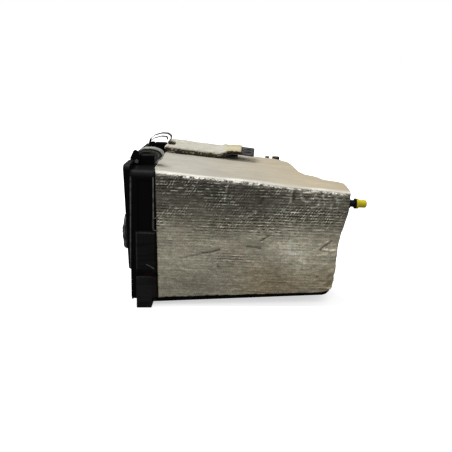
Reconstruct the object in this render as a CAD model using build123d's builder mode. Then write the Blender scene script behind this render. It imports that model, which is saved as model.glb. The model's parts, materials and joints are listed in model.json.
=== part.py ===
from build123d import *
from math import atan2, cos, radians, sin, tan
import os

os.makedirs("parts", exist_ok=True)

# Engine airbox: a tapered, moulded air filter housing under a folded foil heat shield.
# Its left end is a square flange, closed by a domed cover that two spring clips hold.
# World frame: +X from the cover to the nose, +Y from the near side to the far side, +Z up.
# The origin is the middle of the near foot's underside, and the feet stand on Z = 0.
# Most sizes are given in the flange's own leaning frame: u runs from the cover's joint to
# the nose, v from the near face to the far side, and w up along the flange.

# Stance
lean_deg = 2.2
foot_length = 25.4
foot_width = 24.0
foot_height = 51.0
foot_proud = 2.0
foot_from_joint = 8.0
foot_draft = 3.0

# Flange, shared by the collar and the cover
flange_width = 276.0
flange_height = 208.5
flange_base = 12.5
flange_proud = 1.0
flange_corner = 10.0
least_corner = 1.0
rim_length = 7.5
collar_length = 32.8
collar_rake = 4.7
collar_wall = 6.0
channel_depth = 2.2
channel_lip = 3.4
channel_end = 13.0

# Blocks on the collar's sides
block_base = 67.0
block_height = 59.0
block_margin = 0.9
block_length = 28.6
block_proud = 3.0
block_round = 2.0

# Tapered body behind the flange
taper_deg = 4.2
base_taper_deg = 4.6
base_drop = 2.0
body_wall = 2.6
collar_step = 4.2
form_overlap = 1.8
tongue_depth = 30.0
nose_reach = 287.7
nose_flare = 5.0
nose_width = 76.0
nose_top_flare = 2.0
nose_knee_w = 172.0
nose_knee_drop = 12.5
nose_waist_w = 112.0
nose_tuck = 2.0
nose_round = 14.0
knee_round = 30.0
step_back = (29.0, 4.0)
cheek = (13.5, 32.5)
ledge = (14.0, 5.0)
haunch = (8.0, 22.5)
tail_lean = 8.0
plan_round = 8.0
corner_cut = 37.5
corner_depth = 28.0
corner_round = 30.0
near_round = 6.0
fold_round = 5.0

# Ribs on the far side
rib_count = 2
rib_pitch = 16.0
rib_from_outlet = 55.0
rib_width = 2.0
rib_proud = 2.5
rib_margin = 8.0
rib_drop = 18.0

# Heat shield
skin_gap = 0.6
skin = 2.4
shield_lift = 6.0
shield_gap = 2.0
shield_clear = 0.3
roof_edge = ((7.7, 4.0), (2.2, 34.0), (0.6, 76.0))
roof_edge_round = 25.0
roof_edge_clear = 0.2
far_lip_drop = 14.0
far_lip_end = 34.0
port_clear = 1.5

# Filter
ledge_thickness = 3.8
ledge_width = 7.0
seal_thickness = 12.0
seal_width = 10.7
seal_clear = 0.3
pleat_count = 30
pleat_depth = 38.0
paper = 1.0

# Cover
lid_wall = 3.0
bead = 1.2
bead_length = 1.5
dome_overhang = 1.15
dome_base = 63.5
dome_top = 229.0
dome_corner = 8.0
dome_crown = 12.0
skirt_clear = 0.6
skirt_wall = 3.0
tongue_count = 2
tongue_spacing = 150.0
tongue_width = 24.0
tongue_reach = 9.0
tongue_thickness = 3.0
tongue_gap = 0.3

# Air inlet in the cover
inlet_length = 124.0
inlet_height = 50.0
inlet_z = 97.0
inlet_wall = 3.0
spigot_length = 14.0
boot_wall = 3.0
boot_reach = 23.5
boot_lip = 3.5
boot_lip_length = 7.0
boot_fit = 0.1

# Clips
clip_inset = (62.0, 55.0)
clip_lift_deg = (0.0, 17.0)
clip_width = 18.0
clip_side_gap = 0.4
strap = 1.2
leaf = 0.9
leaf_width = 14.0
leaf_window = (11.0, 6.0)
leaf_window_at = 17.0
leaf_seat = (2.2, 8.3)
leaf_bow = ((-21.0, -5.2), (-7.5, -5.4), (2.2, -9.0), (1.2, -14.0))
leaf_radii = (2.5, 10.0, 8.0, 3.0)
strap_over = 11.3
strap_heel = (4.6, 5.4)
strap_shoulder = 1.5
strap_shoulder_drop = 4.2
strap_crown_from = 11.5
strap_bow = ((-4.5, 0.0), (6.2, -3.6), (10.4, -9.8), (6.6, -17.0), (0.0, -20.6))
strap_radii = (4.0, 9.0, 12.0, 12.0, 8.0, 5.0, 3.5)
hook_gap = 3.0
pin_r = 2.0
pin_clear = 0.06
pivot_u = 2.4
pivot_rise = 5.5
ear = 3.2
ear_height = 14.0
ear_back = 7.8
horn_height = 24.0
rail_height = 13.5
rail_width = 7.0
rail_round = 1.5
ear_boss_r = 5.6
ear_boss = 1.0
pin_end = 1.4
pin_head_r = 3.0
catch_length = 22.0
catch_height = 14.0
catch_round = 2.5
pocket_depth = 2.0
rivet_r = 1.3
rivet_clear = 0.05
rivet_head_r = 2.3
rivet_head = 0.8
rivet_taper = 25.0

# Outlet on the far side
outlet_u = 162.0
outlet_r = 38.0
outlet_wall = 3.0
outlet_length = 74.0
outlet_spigot = 26.0
hose_stop = 1.8
outlet_plate_margin = 9.0
outlet_plate_thickness = 5.0
outlet_screw_pitch = 76.0
gasket = 2.0
boss_ring = 3.0
screw_r = 2.0
screw_clear = 0.3
screw_fit = 0.05
screw_head_r = 4.2
screw_head = 3.0
screw_length = 14.0
screw_boss_r = 5.5
screw_taper = 12.0
screw_socket_r = 2.0

# Air flow sensor on the outlet tube
sensor_at = 24.0
sensor_seat = 4.5
sensor_plate_width = 24.0
sensor_plate_margin = 5.0
sensor_plate_thickness = 4.0
sensor_screw_pitch = 28.0
probe_r = 8.5
probe_clear = 0.3
probe_depth = 40.0
probe_window = 10.0
sensor_body = (20.0, 22.0, 12.0)
sensor_corner = 2.0
socket_size = (17.0, 11.0)
socket_length = 16.0
socket_wall = 1.6

# Hose nipple at the nose
nipple_v = 25.0
nipple_w = 177.5
nipple_boss_r = 9.5
nipple_boss = 3.8
washer = 1.5
nipple_collar_r = 8.0
nipple_collar = 2.2
nipple_r = 5.45
nipple_length = 7.1
nipple_ring_r = 8.1
nipple_ring = 2.4
barb_r = 4.2
barb_length = 11.0
nipple_bore_r = 2.2
nipple_root = 9.0
cap_length = 16.2
cap_r = 6.2
cap_flange_r = 8.0
cap_flange = 3.2
cap_fit = 0.1
cap_crown = 2.2

# Bracket on the roof
arm_u = 47.0
arm_inset = 14.0
arm_width = 50.0
arm_skew = 4.5
arm_crossfall = 10.0
arm_plate = 2.5
arm_lift = 1.5
arm_lying = 84.0
arm_ramp = 20.0
arm_rise = 10.0
arm_landing = 12.0
arm_wall_depth = 30.0
arm_bend = 12.0
tab_length = 30.0
tab_inset = 3.0
tab_corner = 4.0
slot_length = 15.0
slot_width = 6.0
slot_pitch = 17.0
lug_length = 18.0
lug_reach = 15.0
lug_pad = 3.0
screw_offset = 9.0
arm_screw_at = (22.0, 72.0)
pad_thickness = 7.4
pad_margin = 1.5
pad_overhang = 2.0
pad_reach = 16.5
pad_notch_clear = 1.5

# Locating peg under the nose
peg_x = 228.0
peg_y = 58.0
peg_r = 6.0
bush_r = 10.0
bush_height = 12.0
bush_floor = 3.0

# Rear lug with its bushed hole, and the post beside it
lug_from_tail = 16.5
lug_from_far = 8.0
lug_drop = 2.4
lug_gusset = 34.0
gusset_width = 3.0
lug_thickness = 5.0
lug_r = 11.5
lug_root = 30.0
grommet_r = 7.5
grommet_groove = 1.5
grommet_rise = 7.5
grommet_drop = 3.5
sleeve_r = 4.5
sleeve_bore_r = 3.25
post_from_cut = 1.0
post_length = 8.0
post_thickness = 5.2
post_rise = 1.5
post_drop = 22.0
post_foot = 15.4
post_clear = 0.8

# Small wire hooks that hold the shield's edge
wire_r = 0.9
hook_w = 140.0
hook_height = 20.0
hook_depth = 8.0
hook_round = 5.6
hook_overlap = 2.5
tie_run = 12.0
tie_drop = 9.0
tie_bend = 6.0

lean = radians(lean_deg)
taper = tan(radians(taper_deg))
base_taper = tan(radians(base_taper_deg))
foot_from_origin = (foot_from_joint + foot_length / 2) / cos(lean)
near_y = foot_proud - foot_width / 2
frame = Plane(
    origin=(-foot_from_origin, near_y, 0),
    x_dir=(cos(lean), 0, -sin(lean)),
    z_dir=(sin(lean), 0, cos(lean)),
)
collar_end = rim_length + collar_length
flange_top = flange_base + flange_height
mid_v = flange_width / 2 - flange_proud
mid_w = flange_base + flange_height / 2
far_v = flange_width - flange_proud
cover_depth = skin_gap + skin
body_near = cover_depth
body_far = far_v - flange_proud - cover_depth
seal_u = collar_end - ledge_thickness - seal_thickness
catch_end = rim_length + shield_clear + catch_length
roof_start = catch_end + roof_edge_clear
nose_u = collar_end + nose_reach
stepped_u = nose_u + nose_flare - sum(run for run, rise in (step_back, cheek, ledge, haunch))
tail_u = stepped_u - tail_lean
cut_u = tail_u - corner_cut
arm_v = body_far - arm_inset - screw_offset - arm_width
clip_v = (clip_inset[0], far_v - clip_inset[1])
lug_v = far_v + lug_from_far
outlet_plate = outlet_screw_pitch + 2 * outlet_plate_margin
sensor_plate = (sensor_plate_width, sensor_screw_pitch + 2 * sensor_plate_margin)
beyond = 2 * (flange_width + flange_height + nose_reach)


def point(u, v, w):
    """A place in the flange's frame as a world vector."""
    return frame.from_local_coords(Vector(u, v, w))


def level(w):
    """A plane across the flange's up direction, with u and v as its axes."""
    return Plane(origin=point(0, 0, w), x_dir=frame.x_dir, z_dir=frame.z_dir)


def side(v):
    """An upright plane that faces the near side, with u and w as its axes."""
    return Plane(origin=point(0, v, 0), x_dir=frame.x_dir, z_dir=(0, -1, 0))


def section(u):
    """A plane parallel to the flange, with v and w as its axes."""
    return Plane(origin=point(u, 0, 0), x_dir=(0, 1, 0), z_dir=frame.x_dir)


def roof_section(u):
    """A plane square to the roof's slope, with v and the roof's normal as its axes."""
    slope = frame.x_dir * cos(radians(taper_deg)) - frame.z_dir * sin(radians(taper_deg))
    return Plane(origin=point(u, 0, body_top(u)), x_dir=(0, 1, 0), z_dir=slope)


def body_top(u):
    """Height of the body's roof at u."""
    return flange_top - collar_step - (u - collar_end) * taper


def body_base(u):
    """Height of the body's underside at u."""
    return flange_base - base_drop + (u - collar_end) * base_taper


def shield_base(u):
    """Height of the heat shield's lower edge at u."""
    return flange_base + shield_lift + (u - collar_end) * taper


def rake(w):
    """How far the collar's raked end stands back at w from its end at the base."""
    return collar_rake * (w - flange_base) / flange_height


def flange_outline(inset):
    """The flange's rounded rectangle in an open sketch, drawn in by inset."""
    with Locations((mid_v, mid_w)):
        RectangleRounded(
            flange_width - 2 * inset,
            flange_height - 2 * inset,
            max(flange_corner - inset, least_corner),
        )


def box_form(grow, start, roof_from):
    """The tapered body as one solid from start, its skin moved out by grow.

    Its roof begins at roof_from, which may be nearer to the cover than start is.
    """
    crown_u = nose_u + nose_flare + nose_top_flare
    waist_u = nose_u - nose_knee_drop
    toe_u = waist_u - nose_tuck
    side_line = [
        (start, body_base(start)),
        (toe_u, body_base(toe_u)),
        (waist_u, nose_waist_w),
        (nose_u, nose_knee_w),
        (crown_u, body_top(crown_u)),
        (roof_from, body_top(roof_from)),
    ]
    if roof_from < start:
        tongue_w = body_top(roof_from) - tongue_depth
        side_line += [(roof_from, tongue_w), (start, tongue_w)]
    above_knee = body_top(crown_u) - nose_knee_w
    crown_round = min(knee_round, 2 * above_knee)
    side_rounds = [0, nose_round, knee_round, crown_round] + [0] * (len(side_line) - 4)
    step_v = body_near + nose_width
    plan_line = [(roof_from, body_near), (nose_u, body_near), (nose_u + nose_flare, step_v)]
    for run, rise in (step_back, cheek, ledge, haunch):
        last_u, last_v = plan_line[-1]
        plan_line.append((last_u - run, last_v + rise))
    plan_line.append((tail_u, body_far - corner_depth))
    plan_line.append((cut_u, body_far))
    plan_line.append((roof_from, body_far))
    plan_rounds = [0, near_round, plan_round, plan_round, plan_round, plan_round, plan_round]
    with BuildPart() as form:
        with BuildSketch(side(mid_v)):
            with BuildLine():
                FilletPolyline(side_line, radius=side_rounds, close=True)
            make_face()
            offset(amount=grow, kind=Kind.INTERSECTION)
        extrude(amount=beyond, both=True)
        with BuildSketch(level(0)):
            with BuildLine():
                FilletPolyline(
                    plan_line, radius=plan_rounds + [corner_round, corner_round, 0], close=True
                )
            make_face()
            offset(amount=grow, kind=Kind.INTERSECTION)
        extrude(amount=beyond, mode=Mode.INTERSECT)
        with BuildSketch(roof_section(roof_from - beyond / 2)):
            with BuildLine():
                FilletPolyline(
                    [
                        (body_near - grow, grow),
                        (body_far + grow, grow),
                        (body_far + grow, -beyond),
                        (body_near - grow, -beyond),
                    ],
                    radius=[fold_round + grow, fold_round + grow, 0, 0],
                    close=True,
                )
            make_face()
        extrude(amount=2 * beyond, mode=Mode.INTERSECT)
    return form.part


def over_roof(clear):
    """The space above the roof's plane and behind the collar's top edge, clear of that edge."""
    edge = [(catch_end + u + clear, v) for u, v in roof_edge]
    with BuildPart() as space:
        with BuildSketch(level(0)):
            with BuildLine():
                FilletPolyline(
                    (edge[0][0], -beyond),
                    *edge,
                    (roof_start + clear, far_v),
                    (roof_start + clear, beyond),
                    (beyond, beyond),
                    (beyond, -beyond),
                    radius=[0, roof_edge[0][1] / 2, roof_edge_round, roof_edge_round, 0, 0, 0, 0],
                    close=True,
                )
            make_face()
        extrude(amount=beyond)
        with BuildSketch(side(mid_v)):
            with BuildLine():
                Polyline(
                    (0, body_top(0)),
                    (beyond, body_top(beyond)),
                    (beyond, beyond),
                    (0, beyond),
                    close=True,
                )
            make_face()
        extrude(amount=beyond, both=True, mode=Mode.INTERSECT)
    return space.part


def export(piece, name):
    """Label a finished piece and write it as its own STEP file."""
    piece.part.label = name
    export_step(piece.part, f"parts/{name}.step")


def screws(name, plane, places, reach):
    """A group of socket head screws with their heads on plane at places, reach long."""
    with BuildPart() as group:
        with BuildSketch(plane):
            with Locations(*places):
                Circle(screw_head_r)
        extrude(amount=screw_head, taper=screw_taper)
        with BuildSketch(plane.offset(screw_head)):
            with Locations(*places):
                RegularPolygon(screw_socket_r, 6)
        extrude(amount=-screw_head / 2, mode=Mode.SUBTRACT)
        with BuildSketch(plane):
            with Locations(*places):
                Circle(screw_r)
        extrude(amount=-reach)
    export(group, name)


# Planes of the outlet, the nipple and the bracket
outlet_face = Plane(
    origin=point(outlet_u, body_far + boss_ring, mid_w),
    x_dir=-frame.x_dir,
    z_dir=(0, 1, 0),
)
outlet_corners = [
    (x * outlet_screw_pitch / 2, y * outlet_screw_pitch / 2) for x in (-1, 1) for y in (-1, 1)
]
nipple_u = nose_u + nipple_boss
roof = Plane(
    origin=roof_section(arm_u).origin + roof_section(arm_u).y_dir * cover_depth + Vector(0, arm_v, 0),
    x_dir=roof_section(arm_u).z_dir,
    z_dir=roof_section(arm_u).y_dir,
)
arm_base = roof.rotated((0, 0, -arm_skew))
arm_level = arm_base.rotated((arm_crossfall, 0, 0)).offset(arm_lift + arm_plate / 2)
arm_side = Plane(origin=arm_level.origin, x_dir=arm_level.x_dir, z_dir=-arm_level.y_dir)
arm_screw_v = arm_width + screw_offset
arm_screws_at = [(a, arm_screw_v) for a in arm_screw_at]

lug_u = tail_u - lug_from_tail
lug_w = body_top(lug_u) - lug_drop - lug_thickness
post_u = cut_u - post_from_cut

# Housing: body, collar, feet, catch blocks, peg, lug and post in one moulding
form_start = collar_end - collar_rake - form_overlap
roof_from = roof_start - form_overlap
body_form = box_form(0, form_start, roof_from)
body_hollow = box_form(-body_wall, collar_end - form_overlap, collar_end - form_overlap)
peg_u = (peg_x + foot_from_origin) / cos(lean)
peg_top = point(peg_u, 0, body_base(peg_u) + 2 * body_wall).Z
with BuildPart() as housing:
    with BuildSketch(section(rim_length)):
        flange_outline(0)
    extrude(amount=collar_length)
    with BuildSketch(side(mid_v)):
        with BuildLine():
            Polyline(
                (collar_end - rake(0), 0),
                (collar_end - rake(flange_top + form_overlap), flange_top + form_overlap),
                (collar_end + form_overlap, flange_top + form_overlap),
                (collar_end + form_overlap, 0),
                close=True,
            )
        make_face()
    extrude(amount=beyond, both=True, mode=Mode.SUBTRACT)
    add(over_roof(0), mode=Mode.SUBTRACT)
    add(body_form)

    # Shallow channels between the lips of the collar's upright sides
    for v, inward in ((-flange_proud, -1), (far_v, 1)):
        with BuildSketch(side(v)):
            with Locations((rim_length + (collar_length - collar_rake) / 2, mid_w)):
                Rectangle(
                    collar_length - collar_rake - 2 * channel_lip, flange_height - 2 * channel_end
                )
        extrude(amount=inward * channel_depth, mode=Mode.SUBTRACT)

    # Raised blocks and feet, mirrored about the flange's middle
    for v, inward in ((-flange_proud - block_proud, -1), (far_v + block_proud, 1)):
        with BuildSketch(side(v)):
            with Locations((rim_length + block_margin + block_length / 2, block_base + block_height / 2)):
                RectangleRounded(block_length, block_height, block_round)
        extrude(amount=inward * (block_proud + channel_depth + flange_proud))
    for v, inward in ((-foot_proud, -1), (2 * mid_v + foot_proud, 1)):
        with BuildSketch(side(v)):
            with BuildLine():
                Polyline(
                    (foot_from_joint, -foot_height / 2),
                    (foot_from_joint + foot_length - foot_draft, -foot_height / 2),
                    (foot_from_joint + foot_length, foot_height),
                    (foot_from_joint, foot_height),
                    close=True,
                )
            make_face()
        extrude(amount=inward * foot_width)

    # Catch blocks that the clips hook over
    for v in clip_v:
        with BuildSketch(side(v - clip_width / 2)):
            with BuildLine():
                FilletPolyline(
                    (rim_length + shield_clear, flange_top - collar_wall / 2),
                    (rim_length + shield_clear, flange_top + catch_height),
                    (catch_end, flange_top + catch_height),
                    (catch_end, flange_top - collar_wall / 2),
                    radius=[0, catch_round / 2, catch_round, 0],
                    close=True,
                )
            make_face()
        extrude(amount=-clip_width)

    # Locating peg, rear lug and post
    with BuildSketch(Plane.XY.offset(bush_floor)):
        with Locations((peg_x, peg_y)):
            Circle(peg_r)
    extrude(amount=peg_top - bush_floor)
    with BuildSketch(level(lug_w)):
        with Locations((lug_u, lug_v)):
            Circle(lug_r)
        with Locations((lug_u - lug_r, lug_v - lug_root)):
            Circle(lug_r)
        make_hull()
    extrude(amount=lug_thickness)
    with BuildSketch(section(lug_u - lug_r - gusset_width / 2)):
        with BuildLine():
            Polyline(
                (lug_v - lug_root, lug_w + lug_thickness / 2),
                (lug_v - lug_r / 2, lug_w + lug_thickness / 2),
                (lug_v - lug_r / 2, lug_w),
                (lug_v - lug_root, lug_w - lug_gusset),
                close=True,
            )
        make_face()
    extrude(amount=gusset_width)
    with BuildSketch(section(post_u)):
        with BuildLine():
            Polyline(
                (body_far - body_wall / 2, body_top(post_u) - post_drop),
                (far_v + post_thickness, body_top(post_u) - post_foot),
                (far_v + post_thickness, body_top(post_u) + cover_depth + post_rise),
                (far_v + post_clear, body_top(post_u) + cover_depth + post_rise),
                (far_v + post_clear, body_top(post_u) - body_wall),
                (body_far - body_wall / 2, body_top(post_u) - body_wall),
                close=True,
            )
        make_face()
    extrude(amount=post_length)

    # Upright ribs that stiffen the far side, on both sides of the outlet's seat
    for i in range(rib_count):
        for direction in (-1, 1):
            rib_u = outlet_u + direction * (rib_from_outlet + i * rib_pitch)
            with BuildSketch(side(body_far + rib_proud)):
                with BuildLine():
                    Polyline(
                        (rib_u, body_base(rib_u) + rib_margin),
                        (rib_u + rib_width, body_base(rib_u) + rib_margin),
                        (rib_u + rib_width, body_top(rib_u) - rib_drop),
                        (rib_u, body_top(rib_u) - rib_drop),
                        close=True,
                    )
                make_face()
            extrude(amount=rib_proud + body_wall / 2)

    # Seats of the outlet and the nipple
    with BuildSketch(outlet_face):
        RectangleRounded(outlet_plate, outlet_plate, screw_boss_r * 2)
    extrude(amount=-boss_ring - body_wall / 2)
    with BuildSketch(section(nipple_u)):
        with Locations((nipple_v, nipple_w)):
            Circle(nipple_boss_r)
    extrude(amount=-nipple_boss - nipple_root)

    # Hollow: body, filter pocket and the ledge's opening
    add(body_hollow, mode=Mode.SUBTRACT)
    with BuildSketch(section(rim_length)):
        flange_outline(collar_wall)
    extrude(amount=seal_u + seal_thickness - rim_length, mode=Mode.SUBTRACT)
    with BuildSketch(section(seal_u)):
        flange_outline(collar_wall + ledge_width)
    extrude(amount=collar_end + 2 * form_overlap - seal_u, mode=Mode.SUBTRACT)

    # Screw bosses inside the walls
    with BuildSketch(outlet_face.offset(-boss_ring - body_wall / 2)):
        with Locations(*outlet_corners):
            Circle(screw_boss_r)
    extrude(amount=-screw_length)
    with BuildSketch(arm_base.offset(-cover_depth - body_wall / 2)):
        with Locations(*arm_screws_at):
            Circle(screw_boss_r)
    extrude(amount=-screw_length)

    # Holes
    with BuildSketch(outlet_face):
        Circle(outlet_r - outlet_wall)
        with Locations(*outlet_corners):
            Circle(screw_r + screw_fit)
    extrude(amount=-boss_ring - body_wall - screw_length / 2, mode=Mode.SUBTRACT)
    with BuildSketch(arm_base):
        with Locations(*arm_screws_at):
            Circle(screw_r + screw_fit)
    extrude(amount=-cover_depth - screw_length, mode=Mode.SUBTRACT)
    with BuildSketch(section(nipple_u)):
        with Locations((nipple_v, nipple_w)):
            Circle(barb_r + screw_fit)
    extrude(amount=-nipple_boss - 2 * nipple_root, mode=Mode.SUBTRACT)
    with BuildSketch(level(lug_w)):
        with Locations((lug_u, lug_v)):
            Circle(grommet_r - grommet_groove)
    extrude(amount=lug_thickness, mode=Mode.SUBTRACT)

    # Nothing reaches under the plane that the feet stand on
    with BuildSketch(Plane.XY):
        Rectangle(beyond, beyond)
    extrude(amount=-beyond, mode=Mode.SUBTRACT)
export(housing, "housing")

# Heat shield: one folded sheet over the near side, the roof and the nose
shield_outer = box_form(cover_depth, form_start, roof_from)
shield_inner = box_form(skin_gap, form_start - cover_depth, roof_from - cover_depth)
lip_end_u = cut_u - far_lip_end
step_v = body_near + nose_width + step_back[1]
with BuildPart() as before_collar:
    with BuildSketch(side(mid_v)):
        with BuildLine():
            Polyline(
                (collar_end + shield_gap - rake(-beyond), -beyond),
                (collar_end + shield_gap - rake(beyond), beyond),
                (-beyond, beyond),
                (-beyond, -beyond),
                close=True,
            )
        make_face()
    extrude(amount=beyond, both=True)
    add(over_roof(shield_clear), mode=Mode.SUBTRACT)
with BuildPart() as heat_shield:
    add(shield_outer)
    add(shield_inner, mode=Mode.SUBTRACT)
    add(before_collar.part, mode=Mode.SUBTRACT)

    # Open underside: the sheet ends above the body's base line
    with BuildSketch(side(mid_v)):
        with BuildLine():
            Polyline(
                (0, shield_base(0)),
                (beyond, shield_base(beyond)),
                (beyond, -beyond),
                (0, -beyond),
                close=True,
            )
        make_face()
    extrude(amount=beyond, both=True, mode=Mode.SUBTRACT)

    # The stepped side behind the nose and the far side keep the roof's skin only
    with BuildSketch(side(step_v)):
        with BuildLine():
            Polyline(
                (lip_end_u, body_top(lip_end_u) + skin_gap / 2),
                (beyond, body_top(beyond) + skin_gap / 2),
                (beyond, -beyond),
                (lip_end_u, -beyond),
                close=True,
            )
        make_face()
    extrude(amount=-beyond, mode=Mode.SUBTRACT)
    with BuildSketch(side(step_v)):
        with BuildLine():
            Polyline(
                (0, body_top(0) - far_lip_drop),
                (beyond, body_top(beyond) - far_lip_drop),
                (beyond, -beyond),
                (0, -beyond),
                close=True,
            )
        make_face()
    extrude(amount=-beyond, mode=Mode.SUBTRACT)

    # Holes for the bracket's screws and the nipple
    with BuildSketch(arm_base.offset(cover_depth)):
        with Locations(*arm_screws_at):
            Circle(screw_r + screw_clear)
    extrude(amount=-3 * cover_depth, mode=Mode.SUBTRACT)
    with BuildSketch(section(nipple_u + nipple_boss)):
        with Locations((nipple_v, nipple_w)):
            Circle(nipple_boss_r + port_clear)
    extrude(amount=-4 * nipple_boss, mode=Mode.SUBTRACT)
export(heat_shield, "heat_shield")

# Filter: the rubber frame seats on the collar's ledge and holds the pleated paper
with BuildPart() as filter_seal:
    with BuildSketch(section(seal_u)):
        flange_outline(collar_wall + seal_clear)
    extrude(amount=seal_thickness)
    with BuildSketch(section(seal_u)):
        flange_outline(collar_wall + seal_clear + seal_width)
    extrude(amount=seal_thickness, mode=Mode.SUBTRACT)
export(filter_seal, "filter_seal")

pack_inset = collar_wall + seal_clear + seal_width
pack_width = flange_width - 2 * pack_inset
pack_height = flange_height - 2 * pack_inset
pleat_pitch = pack_width / pleat_count
pleat_near = mid_v - pack_width / 2
folds = [
    (seal_u + (pleat_depth if i % 2 else 0), pleat_near + i * pleat_pitch / 2)
    for i in range(2 * pleat_count + 1)
]
with BuildPart() as filter_pleats:
    with BuildSketch(level(mid_w - pack_height / 2)):
        with BuildLine():
            Polyline(folds + [(u + paper, v) for u, v in reversed(folds)], close=True)
        make_face()
    extrude(amount=pack_height)
    with BuildSketch(section(seal_u)):
        flange_outline(pack_inset)
    extrude(amount=pleat_depth + paper, mode=Mode.INTERSECT)
export(filter_pleats, "filter_pleats")

# Cover: a rim with a domed plenum, an inlet spigot, clip ears and lower tongues
dome_face = Plane.YZ.offset(-foot_from_origin - dome_overhang)
dome_y = near_y + mid_v
dome_height = dome_top - dome_base
skirt_inset = collar_wall + skirt_clear
plenum_inset = skirt_inset + skirt_wall
plenum_top = dome_top - dome_crown - lid_wall
with BuildPart() as dome:
    with BuildSketch(dome_face):
        with Locations((dome_y, dome_base + dome_height / 2)):
            RectangleRounded(flange_width, dome_height, dome_corner)
    extrude(amount=beyond)
    fillet(dome.faces().sort_by(Axis.X)[0].edges(), radius=dome_overhang)
    with BuildSketch(dome_face.offset(lid_wall)):
        with Locations((dome_y, (dome_base + lid_wall + plenum_top) / 2)):
            Rectangle(flange_width - 2 * plenum_inset, plenum_top - dome_base - lid_wall)
    extrude(amount=beyond, mode=Mode.SUBTRACT)
    with BuildSketch(dome_face.offset(-spigot_length)):
        with Locations((dome_y, inlet_z)):
            SlotOverall(inlet_length, inlet_height)
    extrude(amount=spigot_length + lid_wall)
    with BuildSketch(dome_face.offset(-spigot_length)):
        with Locations((dome_y, inlet_z)):
            SlotOverall(inlet_length - 2 * inlet_wall, inlet_height - 2 * inlet_wall)
    extrude(amount=spigot_length + 2 * lid_wall, mode=Mode.SUBTRACT)
    split(bisect_by=section(0), keep=Keep.BOTTOM)

pivot_w = flange_top + pivot_rise
pivot = (pivot_u, pivot_w)
ear_line = [
    (-ear_back, flange_top - pocket_depth),
    (-ear_back, pivot_w + pin_r),
    (pivot_u - ear_boss_r / 2, flange_top + ear_height),
    (pivot_u + ear_boss_r / 2, flange_top + ear_height),
    (pivot_u + ear_boss_r, pivot_w + pin_r),
    (rim_length - tongue_gap, flange_top - pocket_depth),
]
horn_line = [
    (-ear_back, flange_top - pocket_depth),
    (-ear_back, pivot_w + pin_r + ear),
    (pivot_u - 2 * pin_r, flange_top + horn_height),
    (pivot_u + pin_r, flange_top + horn_height - ear),
    (pivot_u + ear_boss_r, pivot_w + ear_boss_r),
    (rim_length - tongue_gap, flange_top - pocket_depth),
]
clip_gap = clip_width / 2 + clip_side_gap
pin_room = ear_boss + pin_end + clip_side_gap
plenum_low = dome_base + 2 * lid_wall
with BuildPart() as lid:
    add(dome.part)
    with BuildSketch(section(0)):
        flange_outline(0)
    extrude(amount=rim_length)
    with BuildSketch(section(0)):
        flange_outline(-bead)
    extrude(amount=bead_length)
    with BuildSketch(section(lid_wall)):
        flange_outline(plenum_inset)
    extrude(amount=rim_length, mode=Mode.SUBTRACT)
    with BuildSketch(section(0)):
        with Locations((mid_v, (plenum_low + plenum_top) / 2)):
            Rectangle(flange_width - 2 * plenum_inset, plenum_top - plenum_low)
    extrude(amount=rim_length, mode=Mode.SUBTRACT)
    with BuildSketch(section(rim_length - lid_wall)):
        flange_outline(skirt_inset)
        with Locations((mid_v, mid_w)):
            Rectangle(
                flange_width - 2 * plenum_inset,
                flange_height - 2 * plenum_inset,
                mode=Mode.SUBTRACT,
            )
    extrude(amount=seal_u - rim_length + lid_wall)

    # Tongues that reach under the collar
    for i in range(tongue_count):
        tongue_v = mid_v + (i - (tongue_count - 1) / 2) * tongue_spacing
        with BuildSketch(side(tongue_v - tongue_width / 2)):
            with BuildLine():
                Polyline(
                    (bead_length, flange_base + lid_wall),
                    (bead_length, flange_base - tongue_gap - tongue_thickness),
                    (rim_length + tongue_reach, flange_base - tongue_gap - tongue_thickness),
                    (rim_length + tongue_reach, flange_base - tongue_gap),
                    (rim_length - tongue_gap, flange_base - tongue_gap),
                    (rim_length - tongue_gap, flange_base + lid_wall),
                    close=True,
                )
            make_face()
        extrude(amount=-tongue_width)

    # Low rail along the top, between the clips
    with BuildSketch(side(clip_v[0])):
        with BuildLine():
            FilletPolyline(
                (bead_length, flange_top - lid_wall),
                (bead_length, flange_top + rail_height),
                (bead_length - rail_width, flange_top + rail_height),
                (-ear_back, dome_top - dome_overhang),
                (-ear_back, flange_top - lid_wall),
                radius=[0, rail_round, rail_round, rail_round, 0],
                close=True,
            )
        make_face()
    extrude(amount=clip_v[0] - clip_v[1])

    # Ears with bosses, and the swing pockets between them
    for v in clip_v:
        with BuildSketch(side(v - clip_gap - ear - pin_room)):
            with Locations((bead_length, flange_top - pocket_depth)):
                Rectangle(beyond, beyond, align=(Align.MAX, Align.MIN))
        extrude(amount=-2 * (clip_gap + ear + pin_room), mode=Mode.SUBTRACT)
        for ear_v, boss_v in (
            (v - clip_gap - ear, v - clip_gap - ear - ear_boss),
            (v + clip_gap, v + clip_gap + ear),
        ):
            outline = horn_line if ear_v < clip_v[0] else ear_line
            with BuildSketch(side(ear_v)):
                with BuildLine():
                    FilletPolyline(outline, radius=[0, ear, ear, ear, ear, 0], close=True)
                make_face()
            extrude(amount=-ear)
            with BuildSketch(side(boss_v)):
                with Locations(pivot):
                    Circle(ear_boss_r)
            extrude(amount=-ear_boss)
        with BuildSketch(side(v - clip_gap - ear - ear_boss)):
            with Locations(pivot):
                Circle(pin_r + pin_clear)
        extrude(amount=-2 * (clip_gap + ear + ear_boss), mode=Mode.SUBTRACT)
export(lid, "lid")

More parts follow.
